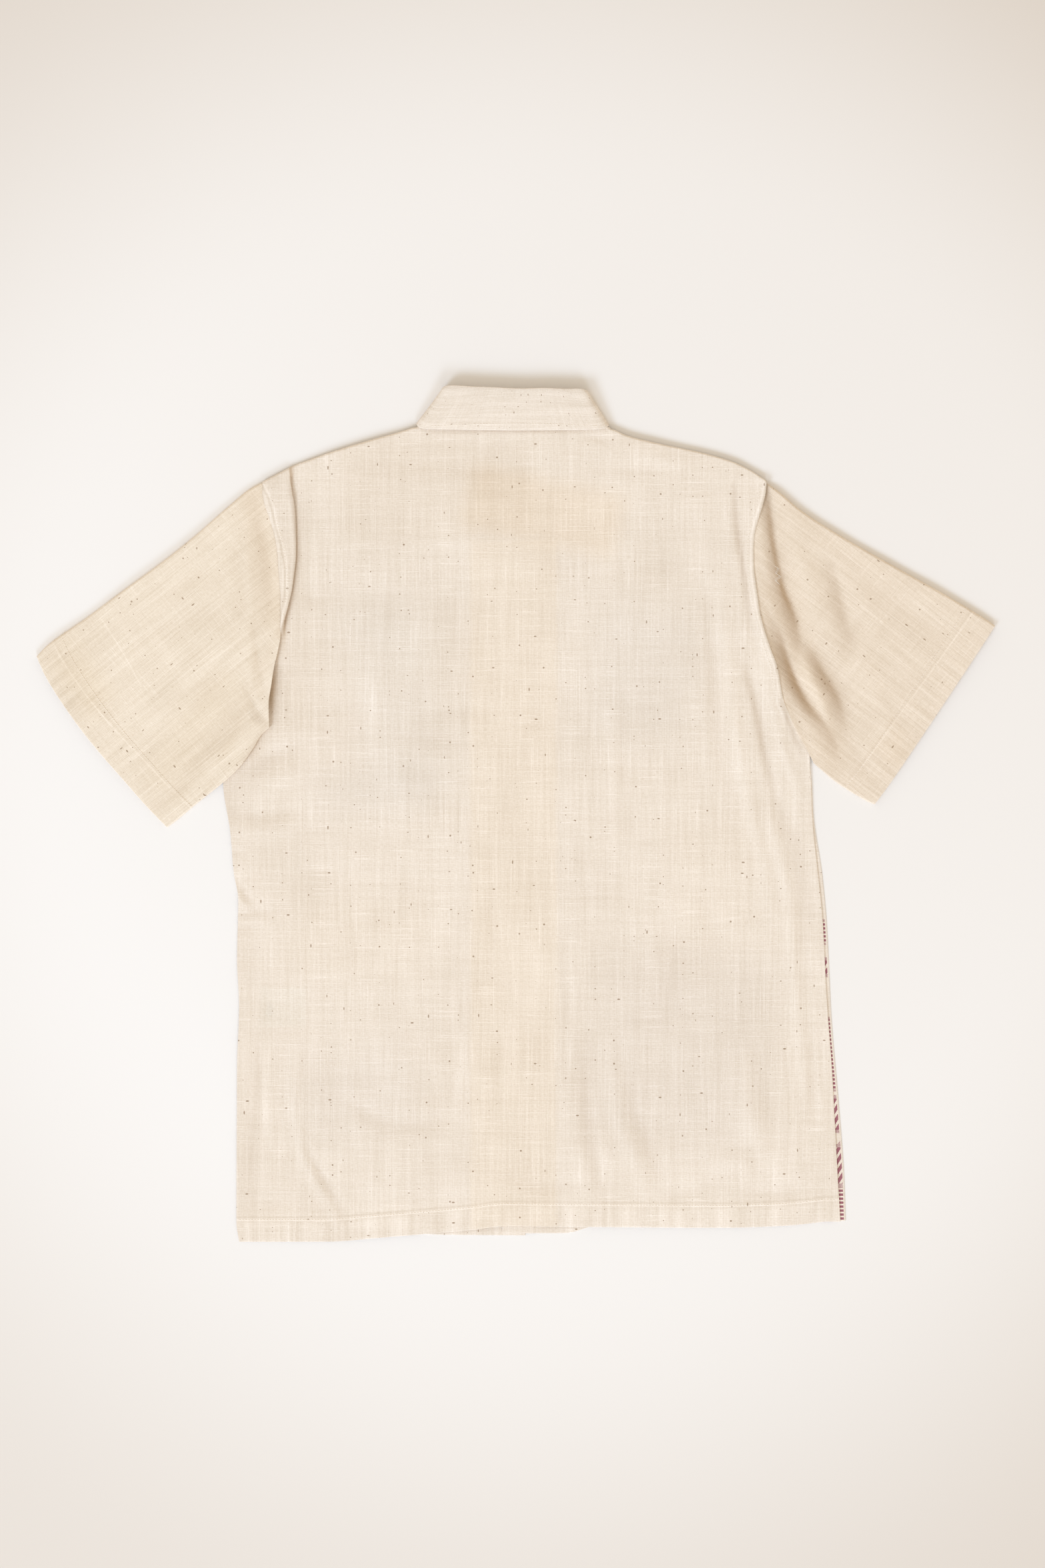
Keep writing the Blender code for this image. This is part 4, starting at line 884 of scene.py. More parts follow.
def collarGrid():
    rows = np.array(collarLine)
    steps = np.maximum(np.linalg.norm(np.diff(rows[:, :2], axis=0), axis=1), collarForm["leastStep"])
    travelled = np.concatenate(([0], np.cumsum(steps)))
    lines = np.column_stack((travelled, rows))
    at = np.unique(np.concatenate([
        np.linspace(start, end, max(3, int((end - start) / collarForm["step"])))
        for start, end in zip(travelled, travelled[1:])
    ]))
    baseX, baseY, topX, topY, turned = (curve(lines, at, column) for column in range(1, 6))
    half = collarForm["stiffCloth"] / 2
    share = 0.5 - 0.5 * np.cos(np.radians(turned))
    grid = []
    for part in np.linspace(0, 1, collarForm["rows"]):
        upper = collarForm["base"] + (collarForm["top"] - collarForm["base"]) * part
        level = half + (upper - half) * share
        x, y = baseX + (topX - baseX) * part, baseY + (topY - baseY) * part
        grid.append(np.column_stack((x, y, level)))
    return np.array(grid) * mm, at * mm


leftTopstitch = (
    (-238, 318), (-234.7, 307.2), (-227.9, 293.6), (-221, 265.7), (-216.7, 250.2), (-213, 222.9),
    (-213, 207.4), (-216.7, 185.7), (-219.8, 172.1),
)


hemSoft = 6.0   # millimetres over which the cloth thins at a hem's upper edge


def hemShare(fromHem, depth):
    # 1 where the cloth is turned up, 0 beyond
    return smoothStep((depth - fromHem) / hemSoft + 0.5)


def wallAt(form, inHem, hem):
    # the cloth's thickness in metres, with what the turned-up part adds
    return (form["cloth"] + (form[hem] - form["cloth"]) * inHem) * mm


def makeBack():
    grid, change = dressed(backPoints, backCreases, backForm)
    x, y = grid[..., 0], grid[..., 1]
    fromHem = (y - grid[:, :1, 1]) / mm
    inHem = hemShare(fromHem, backForm["hemDepth"])
    shade = shadeAt(x, y, change, backToneAndShadePatches, backShadeLines)
    # painted shade on the tuck's folded-under columns, from foldFrom up
    shaded = tuckForm["shaded"]
    foldShadeShare = smoothStep((y[shaded] - backForm["foldFrom"] * mm) / (backForm["foldOver"] * mm))
    shade[shaded] *= 1 - foldShadeShare[..., None] * np.array(backForm["foldPaintedShade"])
    fromLeft = np.hypot(x - x[:1], y - y[:1]) / mm
    fromRight = np.hypot(x - x[-1:], y - y[-1:]) / mm
    atSleeve = y > rightArmhole[0][2] * mm
    rightStitch = np.where(atSleeve, fromRight - backForm["topstitch"], noLine)
    leftSeam = np.where(y > backForm["leftSeamFrom"] * mm, fromLeft, noLine)
    marks = {
        "shade": shade, "doubled": inHem, "hemLine": fromHem - backForm["hemDepth"],
        "topLine": np.where(x < 0, signedAway(x, y, leftTopstitch), rightStitch),
        "seamLine": np.where(atSleeve & (x > 0), fromRight, leftSeam),
    }
    thickness = wallAt(backForm, inHem, "hem")
    return clothObject("back_cloth", grid, thickness, np.stack((x, y), axis=-1), marks), grid


# A plain border of bars and slanting strokes printed along the right front's side:
# how wide it is, and each run's ends along Y and its kind (1 bars, 2 strokes)
border = {
    "from": 1.3, "to": 24.0,
    "runs": (
        (-123, -97, 1), (-149, -134, 2), (-258, -189, 1), (-297, -264, 2), (-344, -306, 2), (-381, -347, 1),
    ),
}


def makeFront(name, grid):
    x, y = grid[..., 0], grid[..., 1]
    fromHem = (y - grid[:, :1, 1]) / mm
    inHem = hemShare(fromHem, frontForm["hemDepth"])
    fromEdge = np.abs(x - x[-1:]) / mm
    printed = np.zeros(x.shape)
    for low, high, kind in border["runs"]:
        inRun = (y / mm > low) & (y / mm < high) & (fromEdge < border["to"])
        printed = np.maximum(printed, kind * inRun)
    marks = {
        "shade": np.ones(x.shape + (3,)), "doubled": inHem, "hemLine": fromHem - frontForm["hemDepth"],
        "fromEdge": fromEdge, "printed": printed,
    }
    thickness = wallAt(frontForm, inHem, "hem")
    return clothObject(name, grid, thickness, np.stack((x, y), axis=-1), marks), grid


thickWeft = ((-387.2, 183.8), (-366.0, 150.5), (-346.9, 115.6))   # one heavy weft thread on the left sleeve


def makeSleeve(name, isLeft):
    grid, change, weight, station = sleeveGrid(backPoints, isLeft)
    turn = math.radians(sleeveForm["grainLeft" if isLeft else "grainRight"])
    x, y = grid[..., 0], grid[..., 1]
    weftway, warpway = y * math.cos(turn) - x * math.sin(turn), x * math.cos(turn) + y * math.sin(turn)
    length = np.linalg.norm(grid[:, -1] - grid[:, 0], axis=-1)[:, None] / mm
    fromCuff = (1 - station) * length
    inHem = hemShare(fromCuff, sleeveForm["cuffDepth"])
    if isLeft:
        shade = shadeAt(x, y, change, leftSleeveToneAndShadePatches, leftSleeveShadeLines)
        heavy = np.where(weight > 0.5, signedAway(x, y, thickWeft), noLine)
        cuffLine = sleeveForm["cuffDepth"]
    else:
        shade = shadeAt(x, y, change, rightSleeveToneAndShadePatches, rightSleeveShadeLines)
        heavy = np.full(x.shape, noLine)
        cuffLine = sleeveForm["cuffDepth"] + sleeveForm["rightCuffMore"]
    marks = {
        "shade": 1 + (shade - 1) * weight[..., None], "doubled": inHem, "hemLine": fromCuff - cuffLine,
        "topLine": heavy,
    }
    grain = np.stack((weftway, warpway), axis=-1)
    return clothObject(name, grid, wallAt(sleeveForm, inHem, "cuff"), grain, marks, tube=True), grid


def makeCollar():
    grid, at = collarGrid()
    down = np.linalg.norm(grid - grid[:1], axis=-1)
    along = np.broadcast_to(at, down.shape)
    part = (down / down[-1:])[..., None]
    # painted shade: the collar darker towards its top edge and lighter at its lower rim, by how it tilts to
    # the light
    shade = np.ones(down.shape + (3,)) * (collarForm["tone"] - collarForm["paintedShadeFall"] * part ** 2)
    fromStitch = down / mm - collarForm["stitchLine"]
    marks = {"shade": shade, "doubled": np.zeros(down.shape), "hemLine": fromStitch}
    grain = np.stack((down, along), axis=-1)
    return clothObject("collar_cloth", grid, collarForm["cloth"] * mm, grain, marks)


# Patches: centre, half sizes, turn in degrees, softness, then what they do to the colour. Most are what
# shows through and tone that differs; some are painted shade beside seams and under edges
backToneAndShadePatches = (
    (-2.5, -72, 40, 326, 0, 4, (1.005, 0.99, 0.962)),
    (-75, 300, 90, 46, 0, 16, (0.965, 0.955, 0.94)),
    (25, 282, 72, 30, -12, 26, (0.985, 0.955, 0.91)),
    (-110, 110, 40, 90, 8, 70, (0.965, 0.972, 0.98)),
    (120, 130, 50, 62, -10, 60, (0.96, 0.965, 0.975)),
    (-150, -260, 60, 40, 15, 70, (0.972, 0.975, 0.985)),
    (150, -220, 80, 90, -8, 80, (0.962, 0.962, 0.97)),
    (-210, 170, 20, 90, 0, 50, (0.975, 0.965, 0.95)),
    # painted shadow on the body under the left sleeve's edge
    (-246, 60, 10, 8, -40, 14, (0.95, 0.93, 0.90)),
    (0, 210, 220, 60, 0, 90, (0.985, 0.985, 0.985)),
    (-130, 20, 60, 22, 4, 46, (0.975, 0.98, 0.99)),
    (180, -60, 40, 60, 0, 60, (1.012, 1.01, 1.005)),
    (-217, -179.5, 21, 18, 0, 3, (0.995, 1.008, 1.010)),
    (-229.5, -182, 2.5, 6, 0, 4, (0.965, 0.975, 0.985)),
    (-140, -110, 70, 40, 0, 60, (1.015, 1.012, 1.005)),
    (-60, -373, 320, 12, 0, 3, (1.02, 1.022, 1.025)),
)
# Lines of painted shade: height, width on the line's left and right, then its points. They darken the body
# beside the fold at the left armhole, at the underarm notches, under the collar's and the left sleeve's
# edges, beside the right armhole seam and in the hem's puckers; a negative height lightens, as painted
# highlight on the strip beside the left armhole seam.
backShadeLines = (
    (1.8, 2.6, 1, ((-210.5, 315), (-209.3, 299), (-205.5, 270), (-204.3, 243), (-206.8, 219),
        (-209.9, 199), (-216.7, 176), (-221, 160), (-223.5, 145), (-228, 125))),
    (0.35, 7, 2, ((-209, 312), (-205, 270), (-204, 243), (-207, 215), (-217, 176),
        (-223.5, 145))),
    (3, 6.5, 1.6, ((-226, 134), (-228.2, 118), (-229.8, 104), (-229.6, 88))),
    (-0.35, 3.4, 3.4, ((-235.5, 303), (-229, 278), (-222.5, 255), (-217.8, 232), (-216.8, 210),
        (-217.8, 190))),
    (1.2, 2.4, 2.4, ((245.5, 108), (250, 94), (255.5, 79), (266, 57))),
    (1, 1.5, 1.5, ((-90.5, 358.6), (-82, 356.5), (-40, 355.9), (0, 355.4), (40, 355.6), (76, 356.5),
        (85, 358.6))),
    (0.6, 1.8, 1.8, ((203.1, 307), (204.6, 279.9), (208.2, 248.9), (211.3, 232), (216, 201),
        (221, 180), (227.5, 160))),
    (0.4, 6, 2, ((201, 307), (202.6, 279.9), (206.2, 248.9), (209.3, 232), (214, 201))),
    (0.9, 6, 1.5, ((-229, 86), (-238, 74), (-248, 62), (-258, 50), (-267, 40))),
    (0.6, 2.4, 3, ((212, 133), (219, 112), (224, 88), (229, 62), (236, 34))),
    (0.35, 2, 3, ((-45, -382), (-44, -364))), (0.3, 2, 2.4, ((-13, -384), (-11.5, -362))),
    (0.4, 2, 3, ((40, -384), (41.5, -364))), (0.35, 2, 2.4, ((80.5, -385), (82, -365))),
    (0.3, 2, 2.4, ((94, -385), (93, -366))), (0.4, 2, 3, ((111.5, -385), (113, -366))),
    (0.35, 2, 2.4, ((142.5, -384), (143.5, -366))), (0.4, 2, 3, ((167, -384), (168.5, -365))),
    (0.35, 2, 2.4, ((233, -380), (234, -363))), (0.35, 2, 2.4, ((276, -378), (277, -362))),
)
# Lines of painted shade in the sleeves' creases, beside their armhole seams and at the underarms, in the
# same columns; a negative height is painted highlight on a raised band.
leftSleeveShadeLines = (
    (-0.2, 9, 9, ((-238, 76), (-262, 46), (-290, 18), (-318, -7))),
    (0.45, 6, 6, ((-244, 298), (-238, 262), (-231, 224), (-229, 190))),
    (0.9, 3.4, 3.4, ((-247, 96), (-239, 89), (-232.5, 84))),
    (0.7, 2.6, 2.6, ((-231.5, 84), (-240, 70), (-251, 54), (-262, 42))),
)
rightSleeveShadeLines = (
    (1.55, 2.6, 5.5, ((233.8, 309), (235, 288), (237.6, 266), (242.5, 234), (248.5, 209),
        (255.5, 192), (260.5, 176), (263, 160))),
    (0.7, 6, 16, ((240, 246), (247, 212), (254, 194), (260, 177), (263, 160))),
    (0.55, 9, 1, ((231.5, 300), (236, 262), (241, 234), (247, 209), (254, 190))),
    (1.85, 3, 8, ((238.5, 181), (245, 167), (252.5, 142), (261, 119), (272, 99.6),
        (285.5, 84), (297, 63))),
    (0.45, 4, 16, ((243, 170), (252.5, 142), (261, 119), (272, 99.6), (285.5, 84))),
    (1.8, 4, 8, ((269, 156), (277, 145), (285.5, 128.5), (296.5, 111), (303.5, 92))),
    (0.7, 4, 9, ((291, 236), (294.5, 222), (299.7, 200.6), (307, 172), (315, 158.5))),
    (-0.35, 4, 4, ((262, 152), (272, 128), (284, 104), (294, 82))),
    (1.1, 2.4, 2.4, ((245.5, 108), (250, 94), (255.5, 79), (266, 57))),
)
leftSleeveToneAndShadePatches = (
    # painted shade beside the left armhole seam
    (-232, 240, 12, 70, 12, 26, (0.985, 0.965, 0.94)),
    (-400, 120, 16, 26, 35, 26, (0.98, 0.965, 0.935)),
    (-420, 150, 12, 20, -35, 20, (0.985, 0.975, 0.96)),
    (-300, 75, 20, 60, -35, 40, (0.985, 0.975, 0.955)),
)
rightSleeveToneAndShadePatches = (
    # the right sleeve darker overall: its own tone and painted shade
    (340, 150, 130, 170, 0, 40, (0.955, 0.935, 0.925)),
    (268, 130, 14, 90, 18, 36, (0.985, 0.97, 0.95)),
    (352, 60, 14, 14, 30, 20, (0.985, 0.97, 0.95)),
)

print("shapes")
backPoints = backGrid()
back, backSurface = makeBack()
frontLeft, frontLeftSurface = makeFront(
    "front_left_cloth", frontGrid(frontLeftHem, leftEdge, neckLeft, True))
frontRight, frontRightSurface = makeFront(
    "front_right_cloth", frontGrid(frontRightHem, frontRightEdge, neckRight, False))
sleeveLeft, sleeveLeftSurface = makeSleeve("sleeve_left_cloth", True)
sleeveRight, sleeveRightSurface = makeSleeve("sleeve_right_cloth", False)
collar = makeCollar()


# Materials

def addNode(tree, kind, values=(), **settings):
    node = tree.nodes.new(kind)
    for name, value in settings.items():
        setattr(node, name, value)
    for socket, value in dict(values).items():
        if isinstance(value, bpy.types.NodeSocket):
            tree.links.new(value, node.inputs[socket])
        else:
            node.inputs[socket].default_value = value
    return node


def maths(tree, operation, first, second=0.0, third=0.0, clamp=False):
    values = {0: first, 1: second, 2: third}
    return addNode(tree, "ShaderNodeMath", values, operation=operation, use_clamp=clamp).outputs[0]


def vectorMaths(tree, operation, first, second):
    return addNode(tree, "ShaderNodeVectorMath", {0: first, 1: second}, operation=operation).outputs[0]


def mixed(tree, share, first, second):
    return addNode(tree, "ShaderNodeMix", {0: share, 6: first, 7: second}, data_type="RGBA").outputs[2]


def markedBy(tree, name, output="Fac"):
    return addNode(tree, "ShaderNodeAttribute", attribute_name=name).outputs[output]


def newMaterial(name, finish):
    material = bpy.data.materials.new(name)
    material.use_nodes = True
    shader = material.node_tree.nodes["Principled BSDF"]
    for socket, value in finish.items():
        shader.inputs[socket].default_value = value
    return material, material.node_tree, shader


def stretchedNoise(tree, grain, scaleAcross, scaleAlong, seed, detail=1.0):
    place = vectorMaths(tree, "MULTIPLY", grain, (scaleAcross, scaleAlong, 1))
    moved = vectorMaths(tree, "ADD", place, tuple(seed * step for step in weave["noiseSteps"]))
    values = {"Vector": moved, "Scale": 1.0, "Detail": detail, "Roughness": 0.5}
    return addNode(tree, "ShaderNodeTexNoise", values, noise_dimensions="2D").outputs["Fac"]


def fleckMask(tree, grain, scaleAcross, scaleAlong, seed, rare, size):
    # scattered seed flecks: each cell of the pattern has one or none
    place = vectorMaths(tree, "MULTIPLY", grain, (scaleAcross, scaleAlong, 1))
    moved = vectorMaths(tree, "ADD", place, tuple(seed * step for step in weave["fleckSteps"]))
    values = {"Vector": moved, "Scale": 1.0, "Randomness": 1.0}
    cells = addNode(tree, "ShaderNodeTexVoronoi", values, voronoi_dimensions="2D")
    chance = addNode(tree, "ShaderNodeSeparateColor", {0: cells.outputs["Color"]}).outputs[0]
    radius = maths(tree, "MULTIPLY", maths(tree, "SUBTRACT", chance, rare, clamp=True), size / (1 - rare))
    inside = maths(tree, "SUBTRACT", radius, cells.outputs["Distance"])
    return maths(tree, "DIVIDE", inside, size * weave["fleckEdge"], clamp=True)


# Patterns of the weave: cells per metre across and along the warp, and what they do
weave = {
    "layers": (   # detail and the look's share of the tone come after the cells
        (130, 8, 2.0, "broadWarp"), (420, 12, 1.0, "warp"), (1000, 22, 0.0, "fineWarp"),
        (9, 120, 2.0, "broadWeft"), (20, 700, 0.0, "weft"), (14, 11, 3.0, "mottle"),
    ),
    "slub": (26, 780), "thread": (780, 18), "slubFrom": 0.70, "slubGain": 8.0,
    "yarn": (1250, 300), "otherYarn": (300, 1250), "fleckEdge": 0.3,
    "yarnHeight": 0.00010, "slubHeight": 0.00006,   # metres
    "noiseSteps": (7.3, 3.1, 1), "fleckSteps": (5.7, 9.1, 0),   # how far each seed moves its pattern
    "tint": (0.85, 1.0, 1.25),   # darker tones turn warmer: the cloth's thin places, and the painted shade of the stitch lines and puckers
}
clothFinish = {"Roughness": 0.9, "Specular IOR Level": 0.25, "Sheen Weight": 0.04, "Sheen Roughness": 0.6}


def slubs(tree, grain, cells, seed):
    noise = stretchedNoise(tree, grain, *cells, seed, 0.0)
    over = maths(tree, "SUBTRACT", noise, weave["slubFrom"])
    return maths(tree, "MULTIPLY", over, weave["slubGain"], clamp=True)


def withBorder(tree, grain, colour, look):
    # the printed bars and strokes of the right front
    printed, fromEdge = markedBy(tree, "printed"), markedBy(tree, "fromEdge")
    up = addNode(tree, "ShaderNodeSeparateXYZ", {0: grain}).outputs[1]
    slanted = maths(tree, "SUBTRACT", printed, 1.0)
    pitch = maths(tree, "MULTIPLY_ADD", slanted, look["strokePitch"], look["barPitch"])
    slant = maths(tree, "MULTIPLY", maths(tree, "MULTIPLY", fromEdge, look["slant"]), slanted)
    line = maths(tree, "FRACT", maths(tree, "ADD", maths(tree, "DIVIDE", up, pitch), slant))
    onLines = maths(tree, "LESS_THAN", line, look["inkWidth"])
    ink = maths(tree, "MULTIPLY", onLines, maths(tree, "GREATER_THAN", printed, 0.5))
    ink = maths(tree, "MULTIPLY", ink, maths(tree, "GREATER_THAN", fromEdge, border["from"]))
    return mixed(tree, maths(tree, "MULTIPLY", ink, look["inkStrength"]), colour, look["ink"])


def cotton(name, look):
    material, tree, shader = newMaterial(name, clothFinish)
    grain = addNode(tree, "ShaderNodeUVMap", uv_map="grain").outputs[0]
    seed = look["seed"]
    tone = 1.0
    for number, (across, along, detail, key) in enumerate(weave["layers"]):
        noise = stretchedNoise(tree, grain, across, along, seed + number, detail)
        tone = maths(tree, "MULTIPLY_ADD", maths(tree, "SUBTRACT", noise, 0.5), look[key], tone)
    across = slubs(tree, grain, weave["slub"], seed + 11)
    along = slubs(tree, grain, weave["thread"], seed + 12)
    thick = maths(tree, "MAXIMUM", across, along)
    tone = maths(tree, "MULTIPLY_ADD", thick, look["slubs"], tone)
    yarn = maths(
        tree, "ADD", stretchedNoise(tree, grain, *weave["yarn"], seed + 13, 0.0),
        stretchedNoise(tree, grain, *weave["otherYarn"], seed + 14, 0.0),
    )
    yarn = maths(tree, "SUBTRACT", yarn, 1.0)
    tone = maths(tree, "MULTIPLY_ADD", yarn, look["yarn"], tone)
    for key, middle, halfWidth, strength in look["lines"]:
        away = maths(tree, "ABSOLUTE", maths(tree, "SUBTRACT", markedBy(tree, key), middle))
        off = maths(tree, "DIVIDE", away, halfWidth)
        tone = maths(tree, "MULTIPLY_ADD", maths(tree, "SUBTRACT", 1.0, off, clamp=True), strength, tone)
    # hems pucker across their length: a small bump, with painted shade and painted highlight on the puckers
    ripples = stretchedNoise(tree, grain, *look["ripples"], seed + 15, 1.0)
    ripples = maths(tree, "MULTIPLY", maths(tree, "SUBTRACT", ripples, 0.5), markedBy(tree, "doubled"))
    tone = maths(tree, "MULTIPLY_ADD", ripples, look["ripplePaintedShading"], tone)
    tones = addNode(tree, "ShaderNodeCombineXYZ", {0: tone, 1: tone, 2: tone}).outputs[0]
    colour = vectorMaths(tree, "MULTIPLY", markedBy(tree, "shade", "Vector"), look["colour"])
    colour = vectorMaths(tree, "MULTIPLY", colour, vectorMaths(tree, "POWER", tones, weave["tint"]))
    if "ink" in look:
        colour = withBorder(tree, grain, colour, look)
    for across, along, rare, size, offset in look["flecks"]:
        mask = fleckMask(tree, grain, across, along, seed + offset, rare, size)
        colour = mixed(tree, maths(tree, "MULTIPLY", mask, look["fleckStrength"]), colour, look["fleck"])
    tree.links.new(colour, shader.inputs["Base Color"])
    slubHeight = maths(tree, "MULTIPLY", thick, weave["slubHeight"])
    height = maths(tree, "MULTIPLY_ADD", yarn, weave["yarnHeight"], slubHeight)
    height = maths(tree, "MULTIPLY_ADD", ripples, look["rippleHeight"], height)
    bump = addNode(tree, "ShaderNodeBump", {"Height": height, "Strength": 1.0, "Distance": 1.0})
    tree.links.new(bump.outputs[0], shader.inputs["Normal"])
    return material


bodyLook = {
    "colour": (0.868, 0.764, 0.648), "seed": 3,
    "broadWarp": 0.10, "warp": 0.11, "fineWarp": 0.09, "broadWeft": 0.07, "weft": 0.07, "mottle": 0.10,
    "slubs": 0.08, "yarn": 0.10, "ripples": (90, 9), "rippleHeight": 0.0010, "ripplePaintedShading": 0.22,
    "lines": (   # which line, millimetres off it, half width, tone: a lighter line on the stitching, painted shadow as darker lines beside it, and a dark line along the seams
        ("hemLine", 0.0, 1.2, 0.16), ("hemLine", 2.4, 1.9, -0.10), ("hemLine", -2.2, 1.6, -0.04),
        ("seamLine", 0.0, 1.2, -0.16), ("topLine", 0.0, 1.3, 0.13), ("topLine", -2.4, 1.5, -0.13),
    ),
    "fleck": (0.27, 0.16, 0.08, 1), "fleckStrength": 0.72,
    "flecks": (   # cells per metre across and along, how rare, size in cells, seed
        (46, 46, 0.58, 0.050, 21), (26, 52, 0.70, 0.046, 22), (64, 24, 0.74, 0.050, 23),
        (110, 110, 0.80, 0.085, 24),
    ),
}
rightFrontLook = {   # pitches in metres, slant in pitches per millimetre, width as a share of the pitch
    **bodyLook, "ink": (0.31, 0.075, 0.12, 1), "inkStrength": 0.9, "inkWidth": 0.60, "slant": 0.16,
    "barPitch": 0.0037, "strokePitch": 0.0054,
}
sleeveLook = {
    **bodyLook, "colour": (0.872, 0.757, 0.614), "seed": 41, "ripples": (150, 12), "rippleHeight": 0.0006,
    "broadWarp": 0.10, "warp": 0.14, "fineWarp": 0.12, "weft": 0.05, "slubs": 0.06, "ripplePaintedShading": 0.12,
    # the cuff's stitching as a lighter line with painted shadow beside it, and the heavy weft as a light
    # line
    "lines": (("hemLine", 0.0, 1.2, 0.09), ("hemLine", 2.2, 1.8, -0.04), ("topLine", 0.0, 1.1, 0.10)),
    "fleckStrength": 0.66,
}
collarLook = {
    **bodyLook, "colour": (0.835, 0.733, 0.620), "seed": 77, "broadWarp": 0.16, "warp": 0.14, "slubs": 0.05,
    # the collar's stitching as a lighter line with painted shadow beside it
    "lines": (("hemLine", 0.0, 0.9, 0.06), ("hemLine", 1.8, 1.2, -0.05)),
    "flecks": ((90, 90, 0.60, 0.062, 21), (120, 60, 0.68, 0.068, 22), (60, 130, 0.72, 0.075, 23)),
}
print("materials")
bodyCotton = cotton("body_cotton", bodyLook)
sleeveCotton = cotton("sleeve_cotton", sleeveLook)
collarCotton = cotton("collar_cotton", collarLook)
for piece, material in (
    (back, bodyCotton), (frontLeft, bodyCotton), (frontRight, cotton("right_front_cotton", rightFrontLook)),
    (sleeveLeft, sleeveCotton), (sleeveRight, sleeveCotton), (collar, collarCotton),
):
    piece.data.materials.append(material)


# Stitches: a short thread at every step of a line, made by Geometry Nodes

threadLook = {   # metres; lowest is the nearest that a stitch's middle comes to the floor
    "pitch": 0.0028, "length": 0.0021, "radius": 0.00025, "lowest": 0.00015,
    "sunk": 0.45, "sunkBelow": -0.5,   # how far into the cloth, in radii, from above and on the underside
    "colour": (0.92, 0.85, 0.75), "mottle": 260.0, "mottleTone": (0.16, 0.92), "uneven": (0.85, 1.1),
    "backEnds": (8, -4), "leftEnds": (3, -2), "rightEnds": (9, -2),   # points left off at a hem row's ends
    "loosePitch": 0.16, "buttonholePitch": 0.26, "buttonPitch": 0.15,   # as shares of the usual one
}
rowForm = {   # millimetres
    "besideArmhole": 6.2, "placketEdge": 2.6, "placketInner": 27.0, "placketFrom": -366, "edgeTo": 277,
    "innerTo": 290, "placketPoints": 90, "collarMiddle": 363.0, "collarBow": 0.0004, "collarFrom": -78,
    "collarTo": 74, "collarPoints": 60, "buttonhole": 7.0, "buttonholeHalf": 0.9, "buttonholePoints": 12,
    "rayFrom": 50,
}
looseThread = {
    "route": (
        (240.9, 231.0), (243.6, 228.6), (242.0, 224.6), (245.4, 221.4), (241.6, 218.0), (244.6, 214.4),
    ),
    "apart": (0.7, -0.5), "points": 40,
}


def threadMaterial():
    material, tree, shader = newMaterial("thread", {"Roughness": 0.75, "Specular IOR Level": 0.3})
    place = addNode(tree, "ShaderNodeTexCoord").outputs["Object"]
    values = {"Vector": place, "Scale": threadLook["mottle"], "Detail": 1.0}
    noise = addNode(tree, "ShaderNodeTexNoise", values).outputs["Fac"]
    tone = maths(tree, "MULTIPLY_ADD", noise, *threadLook["mottleTone"])
    values = {0: threadLook["colour"], "Scale": tone}
    colour = addNode(tree, "ShaderNodeVectorMath", values, operation="SCALE").outputs[0]
    tree.links.new(colour, shader.inputs["Base Color"])
    return material


def stitchTree():
    tree = bpy.data.node_groups.new("stitch_rows", "GeometryNodeTree")
    for name, kind in (
        ("Geometry", "NodeSocketGeometry"), ("Pitch", "NodeSocketFloat"), ("Length", "NodeSocketFloat"),
        ("Radius", "NodeSocketFloat"), ("Thread", "NodeSocketMaterial"),
    ):
        tree.interface.new_socket(name, in_out="INPUT", socket_type=kind)
    tree.interface.new_socket("Geometry", in_out="OUTPUT", socket_type="NodeSocketGeometry")
    given = tree.nodes.new("NodeGroupInput").outputs
    line = addNode(tree, "GeometryNodeMeshToCurve", {0: given["Geometry"]}).outputs[0]
    values = {"Curve": line, "Length": given["Pitch"]}
    line = addNode(tree, "GeometryNodeResampleCurve", values, mode="LENGTH").outputs[0]
    tangent = addNode(tree, "GeometryNodeInputTangent").outputs[0]
    turn = addNode(tree, "FunctionNodeAlignRotationToVector", {"Vector": tangent}, axis="Z").outputs[0]
    values = {"Min": threadLook["uneven"][0], "Max": threadLook["uneven"][1], "Seed": 4}
    uneven = addNode(tree, "FunctionNodeRandomValue", values, data_type="FLOAT")
    uneven = [out for out in uneven.outputs if out.enabled][0]
    half = maths(tree, "MULTIPLY", maths(tree, "MULTIPLY", given["Length"], 0.5), uneven)
    values = {0: given["Radius"], 1: given["Radius"], 2: half}
    size = addNode(tree, "ShaderNodeCombineXYZ", values).outputs[0]
    ball = addNode(tree, "GeometryNodeMeshIcoSphere", {"Radius": 1.0, "Subdivisions": 2}).outputs[0]
    values = {"Points": line, "Instance": ball, "Rotation": turn, "Scale": size}
    put = addNode(tree, "GeometryNodeInstanceOnPoints", values).outputs[0]
    real = addNode(tree, "GeometryNodeRealizeInstances", {0: put}).outputs[0]
    values = {"Geometry": real, "Material": given["Thread"]}
    done = addNode(tree, "GeometryNodeSetMaterial", values).outputs[0]
    tree.links.new(done, tree.nodes.new("NodeGroupOutput").inputs[0])
    return tree


